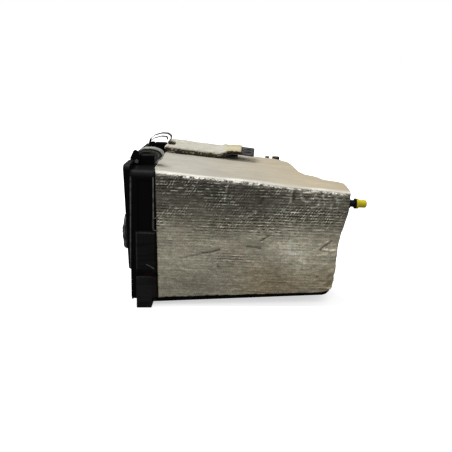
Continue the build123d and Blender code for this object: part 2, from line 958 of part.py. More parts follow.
# Rubber boot on the inlet spigot, with a rolled lip
with BuildPart() as inlet_boot:
    with BuildSketch(dome_face.offset(-boot_reach)):
        with Locations((dome_y, inlet_z)):
            SlotOverall(inlet_length + 2 * boot_wall, inlet_height + 2 * boot_wall)
    extrude(amount=boot_reach)
    with BuildSketch(dome_face.offset(-boot_reach)):
        with Locations((dome_y, inlet_z)):
            SlotOverall(
                inlet_length + 2 * boot_wall + 2 * boot_lip,
                inlet_height + 2 * boot_wall + 2 * boot_lip,
            )
    extrude(amount=boot_lip_length)
    fillet(inlet_boot.faces().sort_by(Axis.X)[0].edges(), radius=boot_lip_length / 2 - boot_fit)
    with BuildSketch(dome_face.offset(-boot_reach)):
        with Locations((dome_y, inlet_z)):
            SlotOverall(inlet_length + 2 * boot_fit, inlet_height + 2 * boot_fit)
    extrude(amount=boot_reach, mode=Mode.SUBTRACT)
export(inlet_boot, "inlet_boot")

# Clips: each has a pin in the ears, a strap that turns on it and a leaf riveted inside.
# Their lines are drawn from the pin, for a clip that is latched over its catch block.
eye_mid = pin_r + pin_clear + strap / 2
crown = flange_top + catch_height + strap_over - pivot_w
hook = catch_end + hook_gap - pivot_u
strap_line = [
    (-eye_mid, 0),
    (-strap_heel[0], strap_heel[1]),
    (strap_shoulder, crown - strap_shoulder_drop),
    (strap_crown_from, crown),
    *((hook + x, crown + y) for x, y in strap_bow),
]
leg_from = Vector(*strap_line[1])
leg_along = (Vector(*strap_line[2]) - leg_from).normalized()
leg_inward = Vector(leg_along.Y, -leg_along.X)
leaf_from = leg_from + leg_inward * (strap + leaf) / 2
leaf_start = leaf_from + leg_along * leaf_seat[0]
leaf_turn = leaf_from + leg_along * leaf_seat[1]
leaf_line = [
    (leaf_start.X, leaf_start.Y),
    (leaf_turn.X, leaf_turn.Y),
    *((hook + x, crown + y) for x, y in leaf_bow),
]
clip_reach = hook + max(x for x, y in strap_bow) + strap
rivet_at = leg_from + leg_along * (leaf_seat[0] + leaf_seat[1]) / 2
pin_span = 2 * (clip_gap + ear + ear_boss)


def clip(name, v, lift_deg):
    """One spring clip at v, lifted from its latched place: strap, inner leaf and pin."""
    lift = radians(lift_deg)
    hinge = Plane(origin=point(pivot_u, v, pivot_w), x_dir=frame.x_dir, z_dir=(0, -1, 0))
    along = frame.x_dir * cos(lift) + frame.z_dir * sin(lift)
    swing = Plane(origin=hinge.origin, x_dir=along, z_dir=hinge.z_dir)
    rivet = Plane(
        origin=swing.from_local_coords((rivet_at.X, rivet_at.Y, 0)),
        x_dir=(0, 1, 0),
        z_dir=-(swing.x_dir * leg_inward.X + swing.y_dir * leg_inward.Y),
    )
    with BuildPart() as clip_strap:
        with BuildSketch(swing):
            with BuildLine():
                FilletPolyline(strap_line, radius=strap_radii)
                offset(amount=strap / 2, side=Side.BOTH)
            make_face()
            Circle(eye_mid + strap / 2)
            Circle(pin_r + pin_clear, mode=Mode.SUBTRACT)
        extrude(amount=clip_width / 2, both=True)
        with BuildSketch(rivet):
            Circle(rivet_r + rivet_clear)
        extrude(amount=2 * strap, both=True, mode=Mode.SUBTRACT)
    export(clip_strap, f"{name}_strap")

    with BuildPart() as clip_spring:
        with BuildSketch(swing):
            with BuildLine():
                FilletPolyline(leaf_line, radius=leaf_radii)
                offset(amount=leaf / 2, side=Side.BOTH)
            make_face()
        extrude(amount=leaf_width / 2, both=True)
        with BuildSketch(Plane(swing.origin, x_dir=swing.x_dir, z_dir=swing.y_dir)):
            with Locations((leaf_window_at, 0)):
                Rectangle(*leaf_window)
        extrude(amount=2 * crown, mode=Mode.SUBTRACT)
        with BuildSketch(rivet.offset(-strap / 2 - leaf / 2)):
            Circle(rivet_r)
        extrude(amount=strap + leaf / 2 + rivet_clear)
        with BuildSketch(rivet.offset(strap / 2 + rivet_clear)):
            Circle(rivet_head_r)
        extrude(amount=rivet_head, taper=rivet_taper)
    export(clip_spring, f"{name}_spring")

    with BuildPart() as clip_pin:
        with BuildSketch(hinge):
            Circle(pin_r)
        extrude(amount=pin_span / 2, both=True)
        for end in (hinge.offset(pin_span / 2), -hinge.offset(-pin_span / 2)):
            with BuildSketch(end):
                Circle(pin_head_r)
            extrude(amount=pin_end, taper=screw_taper)
    export(clip_pin, f"{name}_pin")


for name, v, lift_deg in zip(("near_clip", "far_clip"), clip_v, clip_lift_deg):
    clip(name, v, lift_deg)

# Outlet on the far side: gasket, flanged tube with a sensor seat, and its screws
with BuildPart() as outlet_gasket:
    with BuildSketch(outlet_face):
        RectangleRounded(outlet_plate, outlet_plate, screw_boss_r * 2)
        Circle(outlet_r - outlet_wall, mode=Mode.SUBTRACT)
        with Locations(*outlet_corners):
            Circle(screw_r + screw_clear, mode=Mode.SUBTRACT)
    extrude(amount=gasket)
export(outlet_gasket, "outlet_gasket")

tube_face = outlet_face.offset(gasket)
plate_face = tube_face.offset(outlet_plate_thickness)
sensor_top = outlet_r + sensor_seat
sensor_plane = Plane(
    origin=tube_face.from_local_coords((0, sensor_top, outlet_plate_thickness + sensor_at)),
    x_dir=tube_face.x_dir,
    z_dir=tube_face.y_dir,
)
sensor_screws_at = [(0, -sensor_screw_pitch / 2), (0, sensor_screw_pitch / 2)]
with BuildPart() as outlet_tube:
    with BuildSketch(tube_face):
        RectangleRounded(outlet_plate, outlet_plate, screw_boss_r * 2)
    extrude(amount=outlet_plate_thickness)
    with BuildSketch(tube_face):
        Circle(outlet_r + hose_stop)
    extrude(amount=outlet_length - outlet_spigot)
    with BuildSketch(tube_face):
        Circle(outlet_r)
    extrude(amount=outlet_length)
    with BuildSketch(sensor_plane):
        Rectangle(*sensor_plate)
    extrude(amount=-outlet_r / 2)
    with BuildSketch(tube_face):
        Circle(outlet_r - outlet_wall)
        with Locations(*outlet_corners):
            Circle(screw_r + screw_clear)
    extrude(amount=outlet_length, mode=Mode.SUBTRACT)
    with BuildSketch(sensor_plane):
        Circle(probe_r + probe_clear)
        with Locations(*sensor_screws_at):
            Circle(screw_r + screw_fit)
    extrude(amount=-sensor_seat - probe_r - outlet_wall, mode=Mode.SUBTRACT)
export(outlet_tube, "outlet_tube")
screws("outlet_screws", plate_face, outlet_corners, outlet_plate_thickness + gasket + screw_length / 2)

# Air flow sensor: mounting plate, probe down into the air stream, body and socket
with BuildPart() as airflow_sensor:
    with BuildSketch(sensor_plane):
        RectangleRounded(*sensor_plate, screw_r * 2)
        with Locations(*sensor_screws_at):
            Circle(screw_r + screw_clear, mode=Mode.SUBTRACT)
    extrude(amount=sensor_plate_thickness)
    with BuildSketch(sensor_plane):
        Circle(probe_r)
    extrude(amount=-probe_depth)
    with BuildSketch(Plane(sensor_plane.origin, x_dir=sensor_plane.x_dir, z_dir=sensor_plane.y_dir)):
        with Locations((0, probe_window - probe_depth)):
            Rectangle(probe_r, probe_window)
    extrude(amount=probe_r * 2, both=True, mode=Mode.SUBTRACT)
    with BuildSketch(sensor_plane.offset(sensor_plate_thickness)):
        RectangleRounded(sensor_body[0], sensor_body[1] - 2 * screw_head_r, sensor_corner)
    extrude(amount=sensor_body[2])
    socket_plane = Plane(
        origin=sensor_plane.from_local_coords(
            (0, 0, sensor_plate_thickness + screw_head + socket_size[1] / 2)
        ),
        x_dir=-sensor_plane.x_dir,
        z_dir=-sensor_plane.y_dir,
    )
    with BuildSketch(socket_plane):
        RectangleRounded(*socket_size, socket_wall)
    extrude(amount=sensor_body[1] / 2 + socket_length)
    with BuildSketch(socket_plane.offset(sensor_body[1] / 2)):
        RectangleRounded(
            socket_size[0] - 2 * socket_wall, socket_size[1] - 2 * socket_wall, socket_wall / 2
        )
    extrude(amount=socket_length, mode=Mode.SUBTRACT)
export(airflow_sensor, "airflow_sensor")
screws(
    "sensor_screws",
    sensor_plane.offset(sensor_plate_thickness),
    sensor_screws_at,
    sensor_plate_thickness + sensor_seat,
)

# Hose nipple, its washer and its press-on cap
nipple_at = (nipple_v, nipple_w)
collar_u = nipple_u + washer
ring_u = collar_u + nipple_collar + nipple_length
barb_u = ring_u + nipple_ring
with BuildPart() as nipple_washer:
    with BuildSketch(section(nipple_u)):
        with Locations(nipple_at):
            Circle(nipple_collar_r + washer / 2)
            Circle(barb_r + washer / 4, mode=Mode.SUBTRACT)
    extrude(amount=washer)
export(nipple_washer, "nipple_washer")

with BuildPart() as hose_nipple:
    for start, radius, length in (
        (nipple_u - nipple_root, barb_r, nipple_root + washer),
        (collar_u, nipple_collar_r, nipple_collar),
        (collar_u, nipple_r, nipple_collar + nipple_length),
        (ring_u, nipple_ring_r, nipple_ring),
        (barb_u, barb_r, barb_length),
    ):
        with BuildSketch(section(start)):
            with Locations(nipple_at):
                Circle(radius)
        extrude(amount=length)
    with BuildSketch(section(nipple_u - nipple_root)):
        with Locations(nipple_at):
            Circle(nipple_bore_r)
    extrude(amount=beyond, mode=Mode.SUBTRACT)
export(hose_nipple, "hose_nipple")

with BuildPart() as nipple_cap:
    with BuildSketch(section(barb_u)):
        with Locations(nipple_at):
            Circle(cap_r)
    extrude(amount=cap_length)
    fillet(nipple_cap.faces().sort_by(Axis.X)[-1].edges(), radius=cap_crown)
    with BuildSketch(section(barb_u)):
        with Locations(nipple_at):
            Circle(cap_flange_r)
    extrude(amount=cap_flange)
    with BuildSketch(section(barb_u)):
        with Locations(nipple_at):
            Circle(barb_r + cap_fit)
    extrude(amount=barb_length + cap_fit, mode=Mode.SUBTRACT)
export(nipple_cap, "nipple_cap")

# Bracket on the roof: a plate on two side walls, ramped up to a slotted tab
ramp_top = arm_lying + arm_ramp
plate_end = ramp_top + arm_landing
with BuildPart() as arm:
    with BuildSketch(arm_side):
        with BuildLine():
            FilletPolyline(
                (0, 0),
                (arm_lying, 0),
                (ramp_top, arm_rise),
                (plate_end, arm_rise),
                radius=arm_bend,
            )
            offset(amount=arm_plate / 2, side=Side.BOTH)
        make_face()
    extrude(amount=-arm_width)
    for wall_b, reach in ((0, arm_lying + tab_inset), (arm_width - arm_plate, plate_end)):
        with BuildSketch(
            Plane(
                origin=arm_level.from_local_coords((0, wall_b, 0)),
                x_dir=arm_side.x_dir,
                z_dir=arm_side.z_dir,
            )
        ):
            with BuildLine():
                Polyline(
                    (0, 0),
                    (min(reach, arm_lying), 0),
                    (reach, arm_rise * max(reach - arm_lying, 0) / (plate_end - arm_lying)),
                    (reach, -arm_wall_depth),
                    (0, -arm_wall_depth),
                    close=True,
                )
            make_face()
        extrude(amount=-arm_plate)
    with BuildSketch(arm_level.offset(arm_rise - arm_plate / 2)):
        with Locations((plate_end + tab_length / 2 - tab_inset / 2, arm_width / 2)):
            RectangleRounded(tab_length + tab_inset, arm_width - 2 * tab_inset, tab_corner)
            with Locations((tab_inset, -slot_pitch / 2), (tab_inset, slot_pitch / 2)):
                SlotOverall(slot_length, slot_width, mode=Mode.SUBTRACT)
    extrude(amount=arm_plate)
    with BuildSketch(arm_base):
        with Locations(*[(a, arm_width + lug_reach / 2 - tab_inset) for a in arm_screw_at]):
            Rectangle(lug_length, lug_reach + 2 * tab_inset)
    extrude(amount=lug_pad)
    add(shield_outer, mode=Mode.SUBTRACT)
    with BuildSketch(arm_base):
        with Locations(*arm_screws_at):
            Circle(screw_r + screw_clear)
    extrude(amount=lug_pad, mode=Mode.SUBTRACT)
export(arm, "arm")
screws("arm_screws", arm_base.offset(lug_pad), arm_screws_at, lug_pad + cover_depth + screw_length / 2)

# Foil pad: a soft layer that lies on the bracket's plate and follows its ramp
pad_lift = arm_plate / 2 + pad_thickness / 2
half_turn = tan(atan2(arm_rise, arm_ramp) / 2)
with BuildPart() as arm_pad:
    with BuildSketch(
        Plane(
            origin=arm_level.from_local_coords((0, -pad_margin, 0)),
            x_dir=arm_side.x_dir,
            z_dir=arm_side.z_dir,
        )
    ):
        with BuildLine():
            FilletPolyline(
                (-pad_reach, pad_lift),
                (arm_lying - pad_lift * half_turn, pad_lift),
                (ramp_top - pad_lift * half_turn, arm_rise + pad_lift),
                (plate_end + pad_overhang, arm_rise + pad_lift),
                radius=[arm_bend - pad_lift, arm_bend + pad_lift],
            )
            offset(amount=pad_thickness / 2, side=Side.BOTH)
        make_face()
    extrude(amount=-arm_width)

    # Notch in which the far clip swings
    with BuildSketch(level(flange_top - collar_step)):
        with Locations((pivot_u + clip_reach + pad_notch_clear, clip_v[1])):
            Rectangle(beyond, clip_width + 2 * pad_notch_clear, align=(Align.MAX, Align.CENTER))
    extrude(amount=beyond, mode=Mode.SUBTRACT)
export(arm_pad, "arm_pad")

# Rubber bush on the locating peg
with BuildPart() as peg_bush:
    with BuildSketch(Plane.XY):
        with Locations((peg_x, peg_y)):
            Circle(bush_r)
    extrude(amount=bush_height)
    with BuildSketch(Plane.XY.offset(bush_floor)):
        with Locations((peg_x, peg_y)):
            Circle(peg_r + screw_fit)
    extrude(amount=bush_height, mode=Mode.SUBTRACT)
export(peg_bush, "peg_bush")

# Grommet and steel sleeve in the rear lug
grommet_low = lug_w - grommet_drop
grommet_top = lug_w + lug_thickness + grommet_rise
with BuildPart() as lug_grommet:
    with BuildSketch(level(grommet_low)):
        with Locations((lug_u, lug_v)):
            Circle(grommet_r)
    extrude(amount=grommet_top - grommet_low)
    with BuildSketch(level(lug_w)):
        with Locations((lug_u, lug_v)):
            Circle(grommet_r)
            Circle(grommet_r - grommet_groove - screw_fit, mode=Mode.SUBTRACT)
    extrude(amount=lug_thickness, mode=Mode.SUBTRACT)
    with BuildSketch(level(grommet_low)):
        with Locations((lug_u, lug_v)):
            Circle(sleeve_r + screw_fit)
    extrude(amount=grommet_top - grommet_low, mode=Mode.SUBTRACT)
export(lug_grommet, "lug_grommet")

with BuildPart() as lug_sleeve:
    with BuildSketch(level(grommet_low)):
        with Locations((lug_u, lug_v)):
            Circle(sleeve_r)
            Circle(sleeve_bore_r, mode=Mode.SUBTRACT)
    extrude(amount=grommet_top - grommet_low)
export(lug_sleeve, "lug_sleeve")

# Wire hooks that hold the shield's edge to the collar
hook_end = collar_end - rake(hook_w) + shield_gap + hook_overlap
tie_end = rim_length + block_margin + block_length - block_round / 2
wires = [
    (
        -flange_proud - wire_r,
        [
            (hook_end, hook_w + hook_height / 2),
            (hook_end - hook_depth, hook_w + hook_height / 2),
            (hook_end - hook_depth, hook_w - hook_height / 2),
            (hook_end, hook_w - hook_height / 2),
        ],
        [hook_round, hook_round],
    ),
    (
        -flange_proud - block_proud - wire_r,
        [
            (tie_end - tie_run, block_base + tie_drop),
            (tie_end - tie_run / 2, block_base + tie_bend),
            (tie_end, block_base + block_round),
        ],
        [hook_depth],
    ),
]
with BuildPart() as shield_hooks:
    for v, places, radii in wires:
        with BuildLine(side(v)) as route:
            FilletPolyline(places, radius=radii)
        with BuildSketch(Plane(origin=route.wire() @ 0, z_dir=route.wire() % 0)):
            Circle(wire_r)
        sweep(path=route.wire())
export(shield_hooks, "shield_hooks")
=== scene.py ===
import itertools
import json
import logging
import math
from dataclasses import dataclass
from enum import Enum
from typing import Optional, Sequence

import bpy
import numpy as np
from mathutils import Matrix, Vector
from mathutils.bvhtree import BVHTree


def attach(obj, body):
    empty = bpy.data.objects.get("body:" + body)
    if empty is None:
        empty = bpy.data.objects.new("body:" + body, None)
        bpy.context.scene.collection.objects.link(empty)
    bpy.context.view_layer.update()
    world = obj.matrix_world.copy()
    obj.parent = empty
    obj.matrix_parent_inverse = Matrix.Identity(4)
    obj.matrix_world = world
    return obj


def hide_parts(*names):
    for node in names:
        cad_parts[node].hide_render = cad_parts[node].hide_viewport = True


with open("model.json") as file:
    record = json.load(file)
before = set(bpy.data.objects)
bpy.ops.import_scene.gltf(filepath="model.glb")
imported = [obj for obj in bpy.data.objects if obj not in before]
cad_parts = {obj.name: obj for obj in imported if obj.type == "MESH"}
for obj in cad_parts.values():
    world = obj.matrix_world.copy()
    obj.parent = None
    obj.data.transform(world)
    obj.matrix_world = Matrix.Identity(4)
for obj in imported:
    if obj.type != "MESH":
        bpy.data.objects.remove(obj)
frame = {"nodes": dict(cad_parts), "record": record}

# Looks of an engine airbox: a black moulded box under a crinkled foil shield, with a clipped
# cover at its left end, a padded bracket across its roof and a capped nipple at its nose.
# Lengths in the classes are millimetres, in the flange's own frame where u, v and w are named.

LOG = logging.getLogger("airbox")
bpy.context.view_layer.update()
MM = 0.001
BODY = "airbox"
LATTICE = 37

Colour = tuple[float, float, float]
Size = tuple[float, float, float]
Span = tuple[float, float]
Faces = list[tuple[int, ...]]
Socket = bpy.types.NodeSocket
Material = bpy.types.Material
Piece = bpy.types.Object
Array = np.ndarray


class Attribute(Enum):
    """Names of the values that a mesh carries for its finish."""

    SKIN = "skin"
    POLISH = "polish"
    WEAVE = "weave"
    FOLD = "fold"


@dataclass(frozen=True)
class FlangeFrame:
    """The leaning frame of the flange: u to the nose, v from the near side, w up it."""

    lean_deg: float = 2.2
    joint_x: float = -20.715
    near_y: float = -10.0
    taper_deg: float = 4.2
    collar_end: float = 40.3
    roof_at_collar: float = 219.8
    base_at_collar: float = 12.5

    def world(self, places: Array) -> Array:
        """Turn flange places in millimetres into world places in metres.

        Args:
            places: rows of u, v and w.

        Returns:
            Rows of x, y and z.
        """
        u, v, w = np.asarray(places, float).T
        lean = math.radians(self.lean_deg)
        x = self.joint_x + math.cos(lean) * u + math.sin(lean) * w
        z = -math.sin(lean) * u + math.cos(lean) * w
        return np.stack([x, self.near_y + v, z], axis=1) * MM

    def flange(self, points: Array) -> Array:
        """Turn world places in metres into flange places in millimetres.

        Args:
            points: rows of x, y and z.

        Returns:
            Rows of u, v and w.
        """
        x, y, z = (np.asarray(points, float) / MM).T
        lean = math.radians(self.lean_deg)
        x = x - self.joint_x
        u = math.cos(lean) * x - math.sin(lean) * z
        w = math.sin(lean) * x + math.cos(lean) * z
        return np.stack([u, y - self.near_y, w], axis=1)

    def direction(self, u: float, v: float, w: float) -> Vector:
        """Turn a flange direction into a world one."""
        ends = self.world(np.array([[u, v, w], [0.0, 0.0, 0.0]]))
        return Vector(ends[0] - ends[1]).normalized()

    def roof(self, u: Array) -> Array:
        """Height w of the shield's roof at u."""
        return self.roof_at_collar - (u - self.collar_end) * math.tan(math.radians(self.taper_deg))

    def base(self, u: Array) -> Array:
        """Height w of the body's underside at u."""
        return self.base_at_collar + (u - self.collar_end) * math.tan(math.radians(self.taper_deg))


FLANGE = FlangeFrame()


@dataclass(frozen=True)
class Noise:
    """Smooth random values between two levels, on a lattice of cells with a seed of its own."""

    cell: Size
    seed: int
    low: float = 0.0
    high: float = 1.0
    power: float = 2.0

    def at(self, points: Array) -> Array:
        """Read the values at some points.

        Args:
            points: rows of three coordinates, in the cell's unit.

        Returns:
            One value from low to high for each point.
        """
        table = np.random.default_rng(self.seed).random((LATTICE,) * 3)
        scaled = points / np.asarray(self.cell, float)
        base = np.floor(scaled).astype(int)
        part = scaled - base
        part = part * part * (3 - 2 * part)
        total = np.zeros(len(points))
        for corner in itertools.product((0, 1), repeat=3):
            weight = np.prod(np.where(np.array(corner) == 1, part, 1 - part), axis=1)
            index = (base + np.array(corner)) % LATTICE
            total += weight * table[index[:, 0], index[:, 1], index[:, 2]]
        return self.low + (self.high - self.low) * total

    def crests(self, points: Array) -> Array:
        """Sharp crests from low to high, where the values pass their middle."""
        middle = (self.low + self.high) / 2
        crest = 1 - np.abs(self.at(points) - middle) / (self.high - middle)
        return self.low + (self.high - self.low) * np.clip(crest, 0, 1) ** self.power


def step(values: Array, low: float, high: float) -> Array:
    """A smooth rise from 0 at low to 1 at high, or a fall where high is the smaller."""
    part = np.clip((np.asarray(values, float) - low) / (high - low), 0, 1)
    return part * part * (3 - 2 * part)


def tinted(first: object, second: object, share: Array) -> Array:
    """Go from one colour to another by a share for each place.

    Args:
        first: one colour, or rows of colours.
        second: one colour, or rows of colours.
        share: one value from 0 to 1 for each place.

    Returns:
        Rows of colours.
    """
    share = share[:, None]
    return np.asarray(first) * (1 - share) + np.asarray(second) * share


def far_from_line(places: Array, line: Sequence[Span]) -> Array:
    """Distance of flat places from a line of straight runs.

    Args:
        places: rows of two coordinates.
        line: the line's points.

    Returns:
        One distance for each place.
    """
    nearest = np.full(len(places), np.inf)
    for start, end in zip(line[:-1], line[1:]):
        a, b = np.array(start, float), np.array(end, float)
        along = np.clip((places - a) @ (b - a) / ((b - a) @ (b - a)), 0, 1)
        gap = np.linalg.norm(places - (a + along[:, None] * (b - a)), axis=1)
        nearest = np.minimum(nearest, gap)
    return nearest


class Graph:
    """A material's node tree, with short calls that add nodes and wire them."""

    def __init__(self, name: str) -> None:
        """Start a material of that name with an empty tree."""
        self.material = bpy.data.materials.new(name)
        self.material.use_nodes = True
        self.tree = self.material.node_tree
        self.tree.nodes.clear()

    def add(self, kind: str, inputs: Optional[dict] = None, **settings: object) -> bpy.types.Node:
        """Add a node.

        Args:
            kind: the node's type.
            inputs: values or sockets by the input's name or number.
            settings: the node's own properties.

        Returns:
            The new node.
        """
        node = self.tree.nodes.new(kind)
        for key, value in settings.items():
            setattr(node, key, value)
        for key, value in (inputs or {}).items():
            if isinstance(value, Socket):
                self.tree.links.new(value, node.inputs[key])
            else:
                node.inputs[key].default_value = value
        return node

    def coordinates(self, scale: Sequence[float] = (1, 1, 1), turn: Sequence[float] = (0, 0, 0)) -> Socket:
        """Object coordinates, scaled and turned by degrees."""
        source = self.add("ShaderNodeTexCoord").outputs["Object"]
        inputs = {"Vector": source, "Scale": scale, "Rotation": [math.radians(a) for a in turn]}
        return self.add("ShaderNodeMapping", inputs).outputs["Vector"]

    def flange_place(self) -> Socket:
        """Places u, v and w in millimetres in the flange's own frame."""
        start = FLANGE.flange(np.zeros((1, 3)))[0]
        turned = self.coordinates((1 / MM,) * 3, (0, -FLANGE.lean_deg, 0))
        return self.add("ShaderNodeVectorMath", {0: turned, 1: start}, operation="ADD").outputs[0]

    def split(self, vector: Socket) -> tuple[Socket, Socket, Socket]:
        """The three coordinates of a vector."""
        return tuple(self.add("ShaderNodeSeparateXYZ", {"Vector": vector}).outputs)

    def cells(
        self,
        where: Socket,
        size: Size,
        detail: float = 3,
        rough: float = 0.5,
        bend: float = 0,
        scale: float = 1,
    ) -> Socket:
        """Noise from 0 to 1 with a cell size along each axis."""
        inputs = {0: where, 1: [1 / length for length in size]}
        scaled = self.add("ShaderNodeVectorMath", inputs, operation="MULTIPLY").outputs[0]
        return self.noise(scaled, scale, detail, rough, bend)

    def maths(self, operation: str, first: object, second: object = 0.5) -> Socket:
        """One step of arithmetic on sockets or numbers."""
        return self.add("ShaderNodeMath", {0: first, 1: second}, operation=operation).outputs[0]

    def product(self, *factors: object) -> Socket:
        """Multiply sockets or numbers."""
        total = factors[0]
        for factor in factors[1:]:
            total = self.maths("MULTIPLY", total, factor)
        return total

    def total(self, *terms: object) -> Socket:
        """Add sockets or numbers."""
        whole = terms[0]
        for term in terms[1:]:
            whole = self.maths("ADD", whole, term)
        return whole

    def noise(
        self, where: Socket, scale: float, detail: float = 3, rough: float = 0.5, bend: float = 0
    ) -> Socket:
        """Noise from 0 to 1 at the given coordinates."""
        inputs = {"Vector": where, "Scale": scale, "Detail": detail, "Roughness": rough, "Distortion": bend}
        return self.add("ShaderNodeTexNoise", inputs).outputs[0]

    def spread(
        self, value: Socket, low: float, high: float, to_low: float = 0, to_high: float = 1
    ) -> Socket:
        """Map the range from low to high onto another, clamped."""
        inputs = {"Value": value, 1: low, 2: high, 3: to_low, 4: to_high}
        return self.add("ShaderNodeMapRange", inputs, interpolation_type="SMOOTHSTEP").outputs[0]

    def grey(self, level: Socket) -> Socket:
        """The same level in all three channels."""
        return self.add("ShaderNodeCombineXYZ", {i: level for i in range(3)}).outputs[0]

    def blend(self, share: object, first: object, second: object, way: str = "MIX") -> Socket:
        """Mix two colours.

        Args:
            share: the second colour's share.
            first: a colour or a socket.
            second: a colour or a socket.
            way: how they are mixed.

        Returns:
            The mixed colour.
        """
        first, second = ((*c, 1) if isinstance(c, tuple) else c for c in (first, second))
        node = self.add("ShaderNodeMix", data_type="RGBA", blend_type=way)
        for index, value in ((0, share), (6, first), (7, second)):
            if isinstance(value, Socket):
                self.tree.links.new(value, node.inputs[index])
            else:
                node.inputs[index].default_value = value
        return node.outputs[2]

    def carried(self, attribute: Attribute) -> bpy.types.Node:
        """A value that the mesh carries."""
        return self.add("ShaderNodeAttribute", attribute_name=attribute.value)

    def bump(
        self, height: Socket, depth_mm: float, strength: float = 1, under: Optional[Socket] = None
    ) -> Socket:
        """Bump from a height, on top of another bump if one is given.

        Args:
            height: the height's socket.
            depth_mm: how deep a height of 1 is.
            strength: the bump's strength.
            under: the normal of the other bump.

        Returns:
            The bumped normal.
        """
        inputs = {"Height": height, "Distance": depth_mm * MM, "Strength": strength}
        if under is not None:
            inputs["Normal"] = under
        return self.add("ShaderNodeBump", inputs).outputs[0]

    def finish(self, **inputs: object) -> Material:
        """Add the surface shader and return the material.

        Args:
            inputs: the shader's inputs, with underscores for spaces.

        Returns:
            The finished material.
        """
        named = {}
        for key, value in inputs.items():
            named[key.replace("_", " ")] = (*value, 1) if isinstance(value, tuple) else value
        shader = self.add("ShaderNodeBsdfPrincipled", named)
        self.add("ShaderNodeOutputMaterial", {"Surface": shader.outputs[0]})
        return self.material


@dataclass(frozen=True)
class Bead:
    """A band of another tone on a moulding: an edge that catches light, or dirt in a corner."""

    start_u: float
    end_u: float
    low_w: float
    high_w: float
    colour: Colour
    per_w: float = 0.0
    soft: float = 0.3

    def share(self, g: Graph, u: Socket, w: Socket) -> Socket:
        """Find the band.

        Args:
            g: the material's graph.
            u: the place's u.
            w: the place's w.

        Returns:
            1 inside the band and 0 outside it.
        """
        at = g.maths("SUBTRACT", u, g.maths("MULTIPLY", w, self.per_w))
        start = g.spread(at, self.start_u - self.soft, self.start_u)
        end = g.spread(at, self.end_u + self.soft, self.end_u)
        low = g.spread(w, self.low_w - self.soft, self.low_w)
        high = g.spread(w, self.high_w + self.soft, self.high_w)
        return g.product(start, end, low, high)


@dataclass(frozen=True)
class MouldedPlastic:
    """Injection-moulded plastic with a fine grain, dull scuffs, dust, and beads of painted highlight and of
    dirt.
    """

    name: str
    colour: Colour
    scuffed: Colour
    roughness: float = 0.5
    grain_scale: float = 900
    grain_mm: float = 0.03
    scuff_share: float = 0.45
    specular: float = 0.09
    patch_scale: float = 24
    streak_scale: Size = (18, 18, 160)
    beads: tuple[Bead, ...] = ()

    def material(self) -> Material:
        """Build the finish."""
        g = Graph(self.name)
        place = g.coordinates()
        patches = g.noise(place, self.patch_scale, 5, 0.6, 0.4)
        streaks = g.noise(g.coordinates(self.streak_scale), 1, 4, 0.6, 0.2)
        worn = g.product(g.spread(patches, 0.5, 0.75), g.spread(streaks, 0.45, 0.8), self.scuff_share)
        colour = g.blend(worn, self.colour, self.scuffed)
        # Beads: painted highlights on rounded edges, painted light on faces, and dirt, broken up by the
        # streaks.
        if self.beads:
            u, _, w = g.split(g.flange_place())
            wear_and_sheen = g.spread(streaks, 0.3, 0.6, 0.35, 1)
            for bead in self.beads:
                colour = g.blend(g.product(bead.share(g, u, w), wear_and_sheen), colour, bead.colour)
        rough = g.spread(patches, 0.2, 0.8, self.roughness - 0.07, self.roughness + 0.1)
        grain = g.bump(g.noise(place, self.grain_scale, 2), self.grain_mm, 0.5)
        return g.finish(
            Base_Color=colour, Roughness=rough, Normal=grain, Specular_IOR_Level=self.specular
        )


@dataclass(frozen=True)
class DullRubber:
    """Moulded rubber with a chalky bloom in its hollows."""

    name: str
    colour: Colour
    bloom: Colour
    lump_mm: float = 0.3
    lump_scale: float = 130
    bloom_scale: float = 45
    grain_mm: float = 0.03
    grain_scale: float = 1200
    roughness: float = 0.75
    specular: float = 0.25

    def material(self) -> Material:
        """Build the finish."""
        g = Graph(self.name)
        place = g.coordinates()
        lumps = g.noise(place, self.lump_scale, 4, 0.6, 0.5)
        dust = g.noise(place, self.bloom_scale, 5, 0.65, 0.8)
        colour = g.blend(g.spread(dust, 0.42, 0.72), self.colour, self.bloom)
        fine = g.bump(g.noise(place, self.grain_scale, 2), self.grain_mm, 0.6)
        coarse = g.bump(lumps, self.lump_mm, 0.7, fine)
        return g.finish(
            Base_Color=colour, Roughness=self.roughness, Normal=coarse, Specular_IOR_Level=self.specular
        )


@dataclass(frozen=True)
class SpringSteel:
    """Rolled spring steel with fine lines along the strip, tarnish and a film of grease."""

    name: str
    colour: Colour
    tarnish: Colour
    roughness: float = 0.34
    line_scale: float = 1500
    line_mm: float = 0.05
    across_scale: float = 20
    spot_scale: float = 160
    soiled: Optional[Colour] = None
    soiled_v: Span = (150.0, 190.0)

    def material(self) -> Material:
        """Build the finish."""
        g = Graph(self.name)
        place = g.coordinates((self.across_scale, self.line_scale, self.across_scale))
        lines = g.noise(place, 1, 2, 0.5)
        spots = g.noise(g.coordinates(), self.spot_scale, 5, 0.7, 0.6)
        colour = g.blend(g.spread(spots, 0.45, 0.7), self.colour, self.tarnish)
        if self.soiled:
            v = g.split(g.flange_place())[1]
            film = g.product(g.spread(v, *self.soiled_v), g.spread(spots, 0.3, 0.5, 0.75, 1))
            colour = g.blend(film, colour, self.soiled)
        rough = g.spread(lines, 0.3, 0.7, self.roughness - 0.08, self.roughness + 0.14)
        ridged = g.bump(lines, self.line_mm, 0.6)
        return g.finish(Base_Color=colour, Metallic=1.0, Roughness=rough, Normal=ridged)


